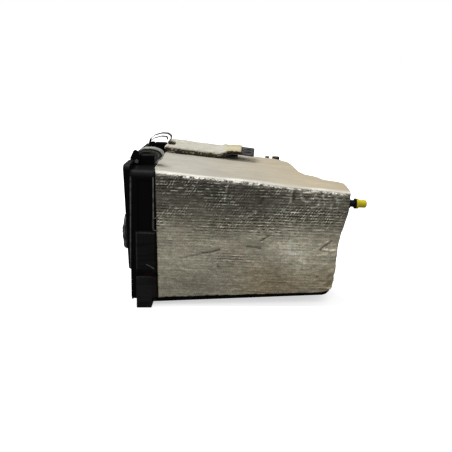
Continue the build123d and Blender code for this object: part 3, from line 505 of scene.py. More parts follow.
@dataclass(frozen=True)
class PaintedSheet:
    """Black coated sheet metal, paler in random patches: partly rubbed wear, partly painted reflection."""

    name: str
    colour: Colour
    wear_and_sheen: Colour
    pale_patch_scale: float = 70
    peel_scale: float = 420
    peel_mm: float = 0.05
    metal: float = 0.2

    def material(self) -> Material:
        """Build the finish."""
        g = Graph(self.name)
        place = g.coordinates()
        pale_patches = g.noise(place, self.pale_patch_scale, 6, 0.7, 0.5)
        # Paler patches: partly rubbed wear, partly painted reflection.
        colour = g.blend(g.spread(pale_patches, 0.45, 0.66), self.colour, self.wear_and_sheen)
        peel = g.bump(g.noise(place, self.peel_scale, 2), self.peel_mm, 0.5)
        rough = g.spread(pale_patches, 0.3, 0.7, 0.42, 0.62)
        return g.finish(Base_Color=colour, Roughness=rough, Normal=peel, Metallic=self.metal)


@dataclass(frozen=True)
class FilterPaper:
    """Resin-set pleated paper."""

    name: str = "pleated_paper"
    colour: Colour = (0.76, 0.68, 0.45)
    dusty: Colour = (0.45, 0.4, 0.3)
    fibre_scale: Size = (200, 200, 60)
    fibre_mm: float = 0.1
    dirt_scale: float = 30
    roughness: float = 0.9

    def material(self) -> Material:
        """Build the finish."""
        g = Graph(self.name)
        fibres = g.bump(g.noise(g.coordinates(self.fibre_scale), 3, 4), self.fibre_mm, 0.5)
        dirt = g.noise(g.coordinates(), self.dirt_scale, 4)
        colour = g.blend(g.spread(dirt, 0.45, 0.8), self.colour, self.dusty)
        return g.finish(Base_Color=colour, Roughness=self.roughness, Normal=fibres)


@dataclass(frozen=True)
class FoilCloth:
    """Aluminised woven cloth: rows of weave and slanting stitches under a thin metal skin, with painted
    highlights and shade.
    """

    name: str
    row_mm: float = 4.5
    row_drift: float = 0.8
    drift_size: Size = (60, 60, 34)
    row_depth_mm: float = 0.8
    under: float = 0.36
    dash_mm: float = 15.0
    break_mm: float = 8.0
    stitch_mm: float = 4.3
    stitch_slope: float = 0.6
    stitch_wander: float = 1.6
    wander_size: Size = (9, 9, 6)
    patch_mm: float = 30.0
    twill_mm: float = 21.0
    twill_slope: float = 1.2
    twill_stray: float = 4.0
    stray_size: Size = (24, 24, 15)
    crumb_mm: float = 4.4
    crumb_height: float = 0.6
    grain_mm: float = 1.7
    cloud_mm: float = 8.0
    hair_mm: float = 11.0
    tint_mm: float = 22.0
    glare_streak_size: Size = (70, 7, 7)
    fine_mm: float = 1.1
    fine_depth_mm: float = 0.06
    metal: float = 0.6
    light: Colour = (0.62, 0.60, 0.53)
    dark: Colour = (0.018, 0.017, 0.013)
    glint: Colour = (0.92, 0.9, 0.83)
    pink: Colour = (1.02, 0.99, 0.985)
    green: Colour = (0.985, 1.005, 0.97)

    def wave(self, g: Graph, turns: Socket) -> Socket:
        """A sine from -1 to 1 of a number of turns."""
        return g.maths("SINE", g.maths("MULTIPLY", turns, 2 * math.pi))

    def slanting(
        self, g: Graph, place: Socket, slope: float, length: float, wander: Socket, share: float
    ) -> Socket:
        """A wave along u that leans and wanders.

        Args:
            g: the material's graph.
            place: flange places in millimetres.
            slope: how far it leans for each millimetre of height.
            length: its length in millimetres.
            wander: the noise that it wanders with.
            share: how many turns the noise adds.

        Returns:
            The wave from -1 to 1.
        """
        u, _, w = g.split(place)
        leaning = g.maths("SUBTRACT", u, g.maths("MULTIPLY", w, slope))
        turns = g.total(g.maths("DIVIDE", leaning, length), g.maths("MULTIPLY", wander, share))
        return self.wave(g, turns)

    def marks(self, g: Graph, place: Socket, weave: Socket) -> tuple[Socket, Socket, Socket]:
        """Draw the weave.

        Args:
            g: the material's graph.
            place: flange places in millimetres.
            weave: how strong the weave is at each place.

        Returns:
            The painted highlights on the threads, the painted shade in the gaps and the dashes that break
            the rows.
        """
        drift = g.cells(place, self.drift_size, 3, 0.55)
        turns = g.total(
            g.maths("DIVIDE", g.split(place)[2], self.row_mm), g.maths("MULTIPLY", drift, self.row_drift)
        )
        rows, under = self.wave(g, turns), self.wave(g, g.total(turns, self.under))
        wander = g.cells(place, self.wander_size, 2, 0.5)
        stitches = self.slanting(g, place, self.stitch_slope, self.stitch_mm, wander, self.stitch_wander)
        stray = g.cells(place, self.stray_size, 4, 0.6, 0.4)
        twill = self.slanting(g, place, self.twill_slope, self.twill_mm, stray, self.twill_stray)
        grouped = g.spread(twill, -0.5, 0.4, 0.12, 1)
        dashes = g.cells(place, (self.dash_mm, self.dash_mm, self.row_mm), 2, 0.55)
        breaks = g.cells(place, (self.break_mm, self.break_mm, self.row_mm), 2, 0.5, scale=1.2)
        patches = g.spread(g.noise(place, 1 / self.patch_mm, 3, 0.6, 0.6), 0.42, 0.58)
        line = g.product(g.spread(rows, 0.35, 0.9), g.spread(dashes, 0.44, 0.56), grouped)
        line = g.product(line, g.spread(patches, 0, 1, 1, 0.6))
        tick = g.product(g.spread(stitches, 0.1, 0.8), g.spread(rows, -0.9, -0.1), patches, grouped)
        lit = g.product(g.maths("MAXIMUM", line, tick), weave)
        gap = g.product(g.spread(under, 0.1, 0.8), g.spread(breaks, 0.4, 0.55))
        hole = g.product(g.spread(stitches, -0.3, -0.95), g.spread(rows, 0.4, -0.5), patches, 0.8)
        return lit, g.product(g.maths("MAXIMUM", gap, hole), weave), dashes

    def shaded(self, g: Graph, place: Socket, colour: Socket, polish: Socket) -> Socket:
        """Vary the metal by grain, clouds and tint, and the matt roof by streaks of painted sheen.

        Args:
            g: the material's graph.
            place: flange places in millimetres.
            colour: the colour so far.
            polish: 1 on the metal and 0 on the matt roof.

        Returns:
            The varied colour.
        """
        grain = g.spread(g.noise(place, 1 / self.grain_mm, 3, 0.7), 0.25, 0.75, 0.74, 1.2)
        cloud = g.spread(g.noise(place, 1 / self.cloud_mm, 4, 0.65, 0.4), 0.3, 0.7, 0.82, 1.14)
        tint = g.spread(g.noise(place, 1 / self.tint_mm, 3, 0.6), 0.4, 0.6)
        tone = g.blend(tint, self.pink, self.green)
        shade = g.blend(1.0, g.grey(g.product(grain, cloud)), tone, "MULTIPLY")
        metal = g.blend(1.0, colour, shade, "MULTIPLY")
        colour = g.blend(g.spread(polish, 0, 0.6, 0.12, 1), colour, metal)
        # Streaks along u on the matt roof: painted sheen.
        glare_streaks = g.cells(place, self.glare_streak_size, 4, 0.6, 0.3)
        glare_streaks = g.grey(g.spread(glare_streaks, 0.3, 0.7, 0.92, 1.06))
        return g.blend(g.spread(polish, 0.5, 0), colour, g.blend(1.0, colour, glare_streaks, "MULTIPLY"))

    def material(self) -> Material:
        """Build the finish."""
        g = Graph(self.name)
        skin = g.carried(Attribute.SKIN).outputs["Color"]
        polish, weave, fold = (
            g.carried(a).outputs["Fac"] for a in (Attribute.POLISH, Attribute.WEAVE, Attribute.FOLD)
        )
        place = g.flange_place()
        lit, gap, dashes = self.marks(g, place, weave)
        # Painted shade in the weave's gaps and stitch holes, then painted highlights on its threads.
        colour = g.blend(g.product(gap, 0.95), skin, self.dark)
        colour = g.blend(g.product(lit, 0.85), colour, self.light, "ADD")
        folds = g.noise(place, 1 / self.hair_mm, 5, 0.62, 0.9)
        folds = g.maths("ABSOLUTE", g.maths("SUBTRACT", folds, 0.5))
        plain = g.product(g.spread(weave, 0.6, 0.15), polish)
        # Painted highlights along thin folds.
        hairline_highlights = g.product(g.spread(folds, 0.035, 0.0), plain, 0.13)
        colour = g.blend(hairline_highlights, colour, self.light, "ADD")
        colour = self.shaded(g, place, colour, polish)
        crumb_size = (self.crumb_mm, self.crumb_mm, self.crumb_mm * self.crumb_height)
        crumbs = g.cells(place, crumb_size, 2, 0.6, 0.7)
        # Painted glints and painted shade among the fold's crinkles.
        colour = g.blend(g.product(fold, g.spread(crumbs, 0.53, 0.45)), colour, self.glint)
        colour = g.blend(g.product(fold, g.spread(crumbs, 0.55, 0.61), 0.9), colour, self.dark)
        height = g.total(
            g.product(lit, 0.35),
            g.product(gap, -0.5),
            g.product(dashes, weave, 0.5),
            g.product(crumbs, fold, 1.6),
            g.product(g.spread(folds, 0.12, 0.0), plain, 0.3),
        )
        fine = g.bump(
            g.product(g.noise(place, 1 / self.fine_mm, 3, 0.6), polish), self.fine_depth_mm, 0.5
        )
        return g.finish(
            Base_Color=colour,
            Metallic=g.spread(polish, 0, 1, 0.1, self.metal),
            Roughness=g.spread(lit, 0, 1, 0.5, 0.36),
            Normal=g.bump(height, self.row_depth_mm, 1.0, fine),
        )


@dataclass(frozen=True)
class PaddedCloth:
    """Fibre padding faced with pale cloth, with the mesh's own tone."""

    name: str
    fibre_mm: float = 0.12
    fibre_size: Size = (4, 1.2, 1.2)
    stain_mm: float = 7.0
    roughness: float = 0.85
    specular: float = 0.2

    def material(self) -> Material:
        """Build the finish."""
        g = Graph(self.name)
        skin = g.carried(Attribute.SKIN).outputs["Color"]
        place = g.flange_place()
        fibres = g.cells(place, self.fibre_size, 4, 0.65, 0.5)
        stain = g.spread(g.noise(place, 1 / self.stain_mm, 4, 0.6), 0.3, 0.7, 0.84, 1.1)
        return g.finish(
            Base_Color=g.blend(1.0, skin, g.grey(stain), "MULTIPLY"),
            Roughness=self.roughness,
            Normal=g.bump(fibres, self.fibre_mm, 0.7),
            Specular_IOR_Level=self.specular,
        )


def new_mesh(name: str, points: Array, faces: Faces) -> bpy.types.Mesh:
    """Make a mesh from points in metres and the corner numbers of its faces."""
    mesh = bpy.data.meshes.new(name)
    mesh.from_pydata(np.asarray(points).tolist(), [], [list(f) for f in faces])
    mesh.update()
    return mesh


def new_piece(name: str, points: Array, faces: Faces, body: str = BODY) -> Piece:
    """Make a mesh piece that rides on a body.

    Args:
        name: the piece's name.
        points: rows of x, y and z in metres.
        faces: corner numbers of each face.
        body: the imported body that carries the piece.

    Returns:
        The new object.
    """
    mesh = new_mesh(name, points, faces)
    mesh.validate()
    mesh.shade_smooth()
    piece = bpy.data.objects.new(name, mesh)
    bpy.context.scene.collection.objects.link(piece)
    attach(piece, body)
    LOG.info("%s: %d faces", name, len(mesh.polygons))
    return piece


def normals_of(points: Array, faces: Faces) -> Array:
    """Find the unit normals of a mesh's points.

    Args:
        points: rows of x, y and z in metres.
        faces: corner numbers of each face.

    Returns:
        One normal for each point.
    """
    mesh = new_mesh("scratch", points, faces)
    normals = np.zeros(len(points) * 3)
    mesh.vertex_normals.foreach_get("vector", normals)
    bpy.data.meshes.remove(mesh)
    return normals.reshape(-1, 3)


def carry(piece: Piece, attribute: Attribute, values: Array) -> None:
    """Store a colour or a number at each point of a piece.

    Args:
        piece: the mesh piece.
        attribute: which value it is.
        values: rows of three for a colour, or one number for each point.
    """
    if values.ndim == 2:
        layer = piece.data.attributes.new(attribute.value, "FLOAT_COLOR", "POINT")
        rows = np.concatenate([values, np.ones((len(values), 1))], axis=1)
        layer.data.foreach_set("color", rows.ravel())
    else:
        layer = piece.data.attributes.new(attribute.value, "FLOAT", "POINT")
        layer.data.foreach_set("value", values)


def weld(points: Array, faces: Faces, within_mm: float = 0.02) -> tuple[Array, Faces]:
    """Join points that lie together and drop faces that this closes up.

    Args:
        points: rows of x, y and z in metres.
        faces: corner numbers of each face.
        within_mm: how near two points lie to be one.

    Returns:
        The kept points and the renumbered faces.
    """
    keys = np.round(points / (within_mm * MM)).astype(int)
    _, first, number = np.unique(keys, axis=0, return_index=True, return_inverse=True)
    number = number.ravel()
    joined = []
    for face in faces:
        corners = list(dict.fromkeys(int(number[c]) for c in face))
        if len(corners) > 2:
            joined.append(tuple(corners))
    return points[first], joined


class Probe:
    """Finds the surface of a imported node."""

    def __init__(self, node: str) -> None:
        """Read the node's mesh."""
        mesh = frame["nodes"][node].data
        self.tree = BVHTree.FromPolygons([v.co for v in mesh.vertices], [p.vertices for p in mesh.polygons])

    def ray_u(self, u: float, v: float, w: float, slope_deg: float) -> float:
        """Look back from beyond the nose.

        Args:
            u: where the ray starts.
            v: the ray's place across.
            w: the ray's height at u.
            slope_deg: how steeply it climbs on its way back.

        Returns:
            The u of the first surface it meets, or u itself if none.
        """
        start = FLANGE.world(np.array([[u, v, w]]))[0]
        rise = math.tan(math.radians(slope_deg))
        found = self.tree.ray_cast(Vector(start), FLANGE.direction(-1, 0, rise))[0]
        return u if found is None else float(FLANGE.flange(np.array([found]))[0, 0])

    def clear(self, point: Sequence[float], within_mm: float) -> float:
        """1 where the surface is farther from the point than given, else 0."""
        return float(self.tree.find_nearest(Vector(point))[3] > within_mm * MM)

    def settle(self, points: Array) -> Array:
        """Move each point onto the nearest surface."""
        return np.array([self.tree.find_nearest(Vector(p))[0] for p in points])


@dataclass(frozen=True)
class Crease:
    """A line pressed into or raised out of the shield's near face, by u and w."""

    line: tuple[Span, ...]
    depth: float
    width: float
    # darkness is painted shade in the crease; brightness is a painted highlight on its ridge.
    darkness: float = 0.0
    brightness: float = 0.0

    def share(self, places: Array) -> Array:
        """1 on the line and 0 away from it."""
        return np.exp(-((far_from_line(places[:, [0, 2]], self.line) / self.width) ** 2))


@dataclass(frozen=True)
class Patch:
    """A soft oval on the shield's near face, by u and w, which may lean."""

    u: float
    w: float
    half_u: float
    half_w: float
    lean: float = 0.0

    def share(self, u: Array, w: Array) -> Array:
        """1 in the oval's middle and 0 away from it."""
        up = w - self.w + self.lean * (u - self.u)
        return np.exp(-(((u - self.u) / self.half_u) ** 2) - (up / self.half_w) ** 2)


@dataclass(frozen=True)
class Shade:
    """A lighter or darker region of the near face, by depth under the roof and by u."""

    amount: float
    depths: tuple[Span, ...]
    along: Optional[Span] = None

    def at(self, u: Array, depth: Array) -> Array:
        """How much the region adds at each place."""
        added = self.amount if self.along is None else self.amount * step(u, *self.along)
        for span in self.depths:
            added = added * step(depth, *span)
        return added


CREASES = (
    Crease(((146, 208), (143, 194), (141, 177)), 0.8, 1.3, 0.0, 0.5),
    Crease(((199.5, 187), (195.3, 177)), -1.6, 1.4, 0.9),
    Crease(((209, 187.2), (219.5, 186.8)), -0.8, 1.2, 0.6),
    Crease(((77, 86), (91, 89.6), (111, 95.3)), -0.5, 1.2, 0.35),
    Crease(((111, 95.3), (126.6, 98), (137, 103)), -1.0, 1.3, 0.85),
    Crease(((198.7, 118.5), (210.3, 126.6)), -1.0, 1.3, 0.8),
    Crease(((178.6, 108.8), (199.4, 107.2)), -0.8, 1.8, 0.6),
    Crease(((291.5, 108), (300, 116), (308.2, 122.8)), -1.1, 1.4, 0.7),
    Crease(((290.6, 63.2), (291, 62.8)), -1.4, 1.4, 1.0),
    Crease(((134.3, 75.5), (136, 72.2)), -0.8, 1.2, 0.8),
    Crease(((243.8, 205), (240, 192), (240, 181)), 0.7, 1.6, 0.0, 0.85),
    Crease(((247, 204), (244, 193), (245, 184)), -0.6, 1.6, 0.6),
    Crease(((254, 193.5), (257, 186.6), (264.5, 182), (271, 187), (276.7, 190)), 0.6, 1.5, 0.0, 0.85),
    Crease(((260, 191), (264, 187), (268, 190)), -0.4, 1.4, 0.4),
    Crease(((276.3, 194.3), (283, 186.3), (281.5, 177.6), (271, 172.6)), 0.6, 1.5, 0.0, 0.8),
    Crease(((288.2, 193.7), (291.6, 181.7), (288, 172)), 0.6, 1.4, 0.0, 0.75),
    Crease(((296.5, 193), (302, 182), (301, 172)), 0.6, 1.4, 0.0, 0.75),
    Crease(((307.5, 191), (312.3, 180), (311, 171)), 0.5, 1.4, 0.0, 0.7),
    Crease(((228, 170), (240, 163), (254, 165), (262, 158)), 0.5, 1.5, 0.0, 0.6),
    Crease(((242.8, 136.8), (255.4, 93.4), (267.2, 82.3)), 0.3, 2.2, 0.0, 0.35),
    Crease(((172, 153), (191, 165)), 0.5, 1.4, 0.0, 0.6),
)


@dataclass(frozen=True)
class Zones:
    """Where the shield's roof, its fold and its near face begin and end."""

    roof_in: Span = (1.0, 9.0)
    roof_down: Span = (9.0, 1.5)
    fold_reach: Span = (13.0, 3.0)
    near_in: Span = (4.0, 0.5)

    def shares(self, places: Array) -> tuple[Array, ...]:
        """Find what each place belongs to.

        Args:
            places: rows of u, v and w.

        Returns:
            The shares of the roof, the fold and the near face, and the depth under the roof.
        """
        v, depth = places[:, 1], FLANGE.roof(places[:, 0]) - places[:, 2]
        roof = step(v, *self.roof_in) * step(depth, *self.roof_down)
        return roof, step(np.hypot(v, depth), *self.fold_reach), step(v, *self.near_in), depth


@dataclass(frozen=True)
class Crumple:
    """How the shield's face is pushed in and out and how its edges fray."""

    sag: Noise = Noise((46, 40, 30), 3, -0.5, 0.5)
    sag_mm: float = 1.3
    roof_sag_mm: float = 1.2
    crinkle: Noise = Noise((15, 9, 8), 5, -0.6, 0.4)
    small_crinkle: Noise = Noise((7, 6, 5), 7, 0.0, 0.6)
    small_shift: float = 40.0
    near_mm: float = 0.55
    roof_mm: float = 0.35
    jag: Noise = Noise((9, 6, 6), 11, -0.45, 0.55, 1.5)
    small_jag: Noise = Noise((4, 3, 3), 13, -0.3, 0.3)
    fold_mm: float = 1.1
    toe: Noise = Noise((12, 12, 8), 17, -1.17, 1.43)
    toe_along: Span = (268.0, 325.0)
    toe_down: Span = (170.0, 90.0)
    thread: Noise = Noise((3.4, 3.4, 3.4), 43)
    tuft: Noise = Noise((9, 9, 9), 45, -0.8, -0.2)
    fray_mm: float = 2.4
    fray_look: float = 2.5
    fray_clear: float = 1.5
    fray_depth: Span = (4.0, 1.5)
    fray_in: Span = (20.0, 60.0)

    def pressed(self, points: Array, faces: Faces) -> Array:
        """Press the creases and crinkles into the sheet.

        Args:
            points: rows of x, y and z in metres.
            faces: corner numbers of each face.

        Returns:
            The moved points.
        """
        places = FLANGE.flange(points)
        roof, fold, near, _ = Zones().shares(places)
        crinkle = self.crinkle.crests(places) + self.small_crinkle.crests(places + self.small_shift)
        jagged = self.jag.crests(places) + self.small_jag.at(places)
        push = self.sag.at(places) * (self.sag_mm + self.roof_sag_mm * roof)
        push += crinkle * (self.near_mm * near + self.roof_mm * roof)
        push += jagged * self.fold_mm * fold
        for crease in CREASES:
            push += near * crease.depth * crease.share(places)
        toe = step(places[:, 0], *self.toe_along) * (1 - roof) * step(places[:, 2], *self.toe_down)
        push += toe * self.toe.crests(places)
        return points + normals_of(points, faces) * (push * MM)[:, None]

    def frayed(self, points: Array, outline: Probe) -> Array:
        """Pull the sheet's far and nose edges out and in, thread by thread.

        Args:
            points: rows of x, y and z in metres.
            outline: finds the plain sheet, which ends at those edges.

        Returns:
            The moved points.
        """
        places = FLANGE.flange(points)
        on_roof = step(Zones().shares(places)[3], *self.fray_depth)
        beyond = FLANGE.world(places + (self.fray_look, 0.0, 0.0))
        past = np.array([outline.clear(p, self.fray_clear) for p in beyond])
        torn = self.thread.at(places) + self.tuft.at(places)
        places[:, 0] += on_roof * past * step(places[:, 1], *self.fray_in) * torn * self.fray_mm
        return FLANGE.world(places)


@dataclass(frozen=True)
class ShieldTones:
    """Colour, polish, weave and fold of the shield, place by place, with painted light and shade in the
    colour.
    """

    silver: Colour = (0.50, 0.465, 0.36)
    brown: Colour = (0.45, 0.37, 0.24)
    cream: Colour = (0.475, 0.45, 0.38)
    tan: Colour = (0.525, 0.445, 0.31)
    # The painted highlight of the strip along the fold.
    pale: Colour = (0.84, 0.81, 0.73)
    scuffed: Colour = (0.42, 0.41, 0.36)
    # The painted highlight on raised creases.
    raised: Colour = (0.72, 0.70, 0.62)
    darkest: float = 0.22
    # bands and gain: dark just under the fold, lighter lower down, darker again near the bottom; painted
    # shade and painted reflection.
    bands: tuple[Shade, ...] = (
        Shade(0.20, ((10, 70),)),
        Shade(0.58, ((50, 105),)),
        Shade(-0.20, ((125, 180),)),
    )
    gain: Shade = Shade(0.12, ((40, 60),))
    regions: tuple[Shade, ...] = (
        Shade(0.22, ((140, 90),), (170, 280)),
        Shade(0.22, ((48, 66), (110, 80)), (130, 240)),
        Shade(0.12, ((100, 130),), (110, 60)),
    )
    blotch: Noise = Noise((38, 38, 14), 21, 0.74, 1.052)
    speck: Noise = Noise((12, 12, 6), 23, 0.0, 0.208)
    warmth: Noise = Noise((40, 40, 20), 25, 0.45, 1.45)
    warm: Shade = Shade(1.0, ((95, 165),), (110, 260))
    worn: Patch = Patch(250, 104, 26, 30, 0.5)
    scratch: Noise = Noise((14, 13, 12), 27, power=5)
    fine_scratch: Noise = Noise((7, 7, 6), 28, power=6)
    scratch_level: float = 0.12
    broken: Noise = Noise((3.2, 3.2, 3.2), 47)
    turned: Span = (90.0, 330.0)
    turned_per_v: float = 0.2
    roof_mottle: Noise = Noise((60, 30, 30), 29, 0.93, 1.07)
    strip_edge: Noise = Noise((30, 9, 9), 31, 0.0, 12.0)
    strip_in: Span = (26.0, 8.0)
    strip_down: Span = (2.0, -0.5)
    strip_breakup: Noise = Noise((26, 30, 30), 37)
    weave_broad: Noise = Noise((34, 30, 18), 33, 0.25, 1.45)
    weave_fades: Span = (108.0, 142.0)
    weave_per_u: float = 0.22
    stitched: Patch = Patch(158, 88, 34, 9)
    sway: Noise = Noise((20, 30, 30), 39, -1.2, 1.8)
    fold_down: Span = (5.5, 1.5)
    fold_in: Span = (3.5, 1.0)
    fold_breakup: Noise = Noise((22, 9, 9), 35)
    fold_fade_in: Span = (48.0, 78.0)

    def near_skin(self, places: Array, near: Array, depth: Array) -> Array:
        """Colour the near face, with painted shade and painted highlights.

        Args:
            places: rows of u, v and w.
            near: share of the near face at each place.
            depth: depth under the roof at each place.

        Returns:
            Rows of colours.
        """
        u, _, w = places.T
        # Painted shade under the fold and painted reflection lower down, then lighter regions.
        level = self.darkest + sum(band.at(u, depth) for band in self.bands)
        level = level * (1 + self.gain.at(u, depth)) + sum(region.at(u, depth) for region in self.regions)
        level = level * (self.blotch.at(places) + self.speck.at(places))
        warm = np.clip(self.warm.at(u, depth) * self.warmth.at(places), 0, 1)
        skin = tinted(self.silver, self.brown, warm) * level[:, None]
        scratched = self.scratch.crests(places) + self.fine_scratch.crests(places)
        scuff = self.worn.share(u, w) * (self.scratch_level + np.clip(scratched, 0, 1))
        skin = skin + scuff[:, None] * np.array(self.scuffed)
        broken = step(self.broken.at(places), 0.25, 0.5)
        # Painted shade in the creases and painted highlights on their ridges, the highlights broken up.
        for crease in CREASES:
            close = near * crease.share(places)
            skin = skin * (1 - crease.darkness * close)[:, None]
            skin = tinted(skin, self.raised, crease.brightness * close * broken)
        return skin

    def at(self, places: Array) -> dict[Attribute, Array]:
        """Find all that the mesh carries.

        Args:
            places: rows of u, v and w.

        Returns:
            The values of each attribute.
        """
        roof, fold, near, depth = Zones().shares(places)
        u, v, w = places.T
        top = tinted(self.cream, self.tan, step(u + self.turned_per_v * v, *self.turned))
        top = top * self.roof_mottle.at(places)[:, None]
        skin = tinted(self.near_skin(places, near, depth), top, roof)
        # The pale strip along the fold is a painted highlight, weaker in patches.
        strip = roof * step(v + self.strip_edge.at(places), *self.strip_in)
        strip = np.clip(strip + fold * step(depth, *self.strip_down), 0, 1)
        strip = strip * (0.7 + 0.3 * step(self.strip_breakup.at(places), 0.3, 0.6))
        metal = np.clip(near + (1 - roof) * (1 - near), 0, 1)
        fading = 1 - 0.8 * step(depth + self.weave_per_u * u, *self.weave_fades)
        weave = fading * self.weave_broad.at(places) + 0.7 * self.stitched.share(u, w)
        weave = weave * (1 - roof) * step(depth, 2, 8) + 0.03 * roof
        # Where the fold's painted glints and painted shade fall, fading in along u and in patches.
        crumpled = near * step(depth - self.sway.at(places), *self.fold_down)
        crumpled += (1 - near) * fold * step(v, *self.fold_in)
        fold_strength = 0.6 + 0.4 * step(self.fold_breakup.at(places), 0.3, 0.6)
        fold_strength *= 0.35 + 0.65 * step(u, *self.fold_fade_in)
        return {
            Attribute.SKIN: np.clip(tinted(skin, self.pale, strip), 0, 1),
            Attribute.POLISH: metal * (1 - 0.95 * roof),
            Attribute.WEAVE: np.clip(weave, 0, 1.2),
            Attribute.FOLD: np.clip(crumpled, 0, 1) * fold_strength,
        }


@dataclass
class HeatShield:
    """The folded foil cloth over the near side, the roof and the nose."""

    node: str = "heat_shield"
    near_start: float = 42.3
    rake: float = 4.7 / 208.5
    roof_start: tuple[Span, ...] = ((4, 37.7), (34, 32.3), (76, 30.7), (274, 30.3))
    base_lift: float = 6.0
    corner: float = 15.0
    corner_used: float = 0.985
    toe_u: float = 317.0
    plan_flare: float = 5.0 / 76.0
    clear_of_round: float = 12.0
    clear_of_far: float = 0.5
    clear_of_roof: float = 1.2
    clear_of_base: float = 0.6
    nose_v: float = 82.5
    far_v: float = 274.0
    lip_drop: float = 14.0
    lip_end_u: float = 189.0
    ray_from: float = 400.0
    nose_about: float = 330.0
    columns: int = 190
    near_rows: int = 160
    nose_rows: int = 18
    roof_rows: int = 38
    lip_rows: int = 5
    thickness: float = 1.6
    ragged: Noise = Noise((5, 9, 9), 41, -0.7, 0.7)
    crumple: Crumple = Crumple()
    tones: ShieldTones = ShieldTones()
    flat: tuple[float, float] = (0.373, 0.494)
    flat_area: float = 0.133

    def low_edge(self, u: Array) -> Array:
        """Height w of the near side's lower edge at u, rounded up at the nose and ragged."""
        past = np.clip(u - (self.toe_u - self.corner), 0, self.corner * self.corner_used)
        rounded = self.corner - np.sqrt(self.corner**2 - past**2)
        ragged = self.ragged.at(np.stack([u, u * 0, u * 0], axis=1))
        return FLANGE.base(u) + self.base_lift + rounded + ragged

    def ends(self, probe: Probe, nose_v: Array, roof_v: Array) -> tuple[Array, Array]:
        """Find where the sheet ends at the nose.

        Args:
            probe: finds the plain sheet.
            nose_v: the columns folded round the nose.
            roof_v: the roof's rows.

        Returns:
            The u of the nose by row and column, and the u of the roof's end by row.
        """
        low = FLANGE.base(self.nose_about) + self.base_lift
        high = FLANGE.roof(self.nose_about)
        nose = np.zeros((self.near_rows + 1, self.nose_rows + 1))
        edge = np.zeros(len(roof_v))
        for j, v in enumerate(roof_v):
            seen = min(max(v, self.clear_of_round), self.far_v - self.clear_of_far)
            w = FLANGE.roof(self.ray_from) - self.clear_of_roof
            edge[j] = probe.ray_u(self.ray_from, seen, w, FLANGE.taper_deg) - (seen - v) * self.plan_flare
        for i, w in enumerate(np.linspace(low, high, self.near_rows + 1)):
            w = min(max(w, low + self.clear_of_base), high - self.clear_of_roof)
            for j, v in enumerate(nose_v):
                seen = max(v, self.clear_of_round)
                nose[i, j] = probe.ray_u(self.ray_from, seen, w, 0) - (seen - v) * self.plan_flare
        nose[-1] = edge[: self.nose_rows + 1]
        return nose, edge

    def grids(self, probe: Probe) -> tuple[Array, Faces]:
        """Lay out the sheet on sharp corners.

        Args:
            probe: finds the plain sheet.

        Returns:
            Flange places and the faces between them.
        """
        share_u = np.linspace(0, 1, self.columns + 1)
        share_w = np.linspace(0, 1, self.near_rows + 1)
        nose_v = np.linspace(0, self.nose_v, self.nose_rows + 1)
        roof_v = np.concatenate([nose_v, np.linspace(self.nose_v, self.far_v, self.roof_rows + 1)[1:]])
        ends, edge = self.ends(probe, nose_v, roof_v)
        places, faces = [], []

        def patch(rows: list[Array], keep: Optional[Array] = None) -> None:
            """Add one grid of rows to the sheet."""
            start = sum(len(p) for p in places)
            across = len(rows[0])
            places.extend(rows)
            for r, c in itertools.product(range(len(rows) - 1), range(across - 1)):
                if keep is None or keep[c]:
                    a = start + r * across + c
                    faces.append((a, a + 1, a + across + 1, a + across))

        near = []
        for i, q in enumerate(share_w):
            first = self.near_start - self.rake * q * (FLANGE.roof_at_collar - FLANGE.base_at_collar)
            u = first + share_u * (ends[i, 0] - first)
            w_low, w_high = self.low_edge(u), FLANGE.roof(u)
            near.append(np.stack([u, np.zeros_like(u), w_low + q * (w_high - w_low)], axis=1))
        patch(near)
        roof = []
        for j, v in enumerate(roof_v):
            first = near[-1][0, 0] if j == 0 else np.interp(v, *zip(*self.roof_start))
            u = first + share_u * (edge[j] - first)
            roof.append(np.stack([u, np.full_like(u, v), FLANGE.roof(u)], axis=1))
        patch(roof)
        last = roof[-1]
        drops = np.linspace(0, self.lip_drop, self.lip_rows + 1)
        patch([last - (0, 0, drop) for drop in drops], last[:-1, 0] < self.lip_end_u)
        nose = []
        for i, q in enumerate(share_w):
            u = ends[i]
            rise = self.low_edge(u[:1]) - FLANGE.base(u[:1]) - self.base_lift
            low = FLANGE.base(u) + self.base_lift + rise * np.exp(-nose_v / self.corner)
            nose.append(np.stack([u, nose_v, low + q * (FLANGE.roof(u) - low)], axis=1))
        patch(nose)
        return np.concatenate(places), faces

    def build(self) -> Piece:
        """Make the shield and hide the plain one."""
        probe = Probe(self.node)
        places, faces = self.grids(probe)
        points, faces = weld(probe.settle(FLANGE.world(places)), faces)
        points = self.crumple.frayed(self.crumple.pressed(points, faces), probe)
        piece = new_piece("foil_shield", points, faces)
        for attribute, values in self.tones.at(FLANGE.flange(points)).items():
            carry(piece, attribute, values)
        piece.data.materials.append(FoilCloth("foil_cloth").material())
        solid = piece.modifiers.new("thickness", "SOLIDIFY")
        solid.thickness, solid.offset = self.thickness * MM, -1
        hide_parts("heat_shield")
        return piece


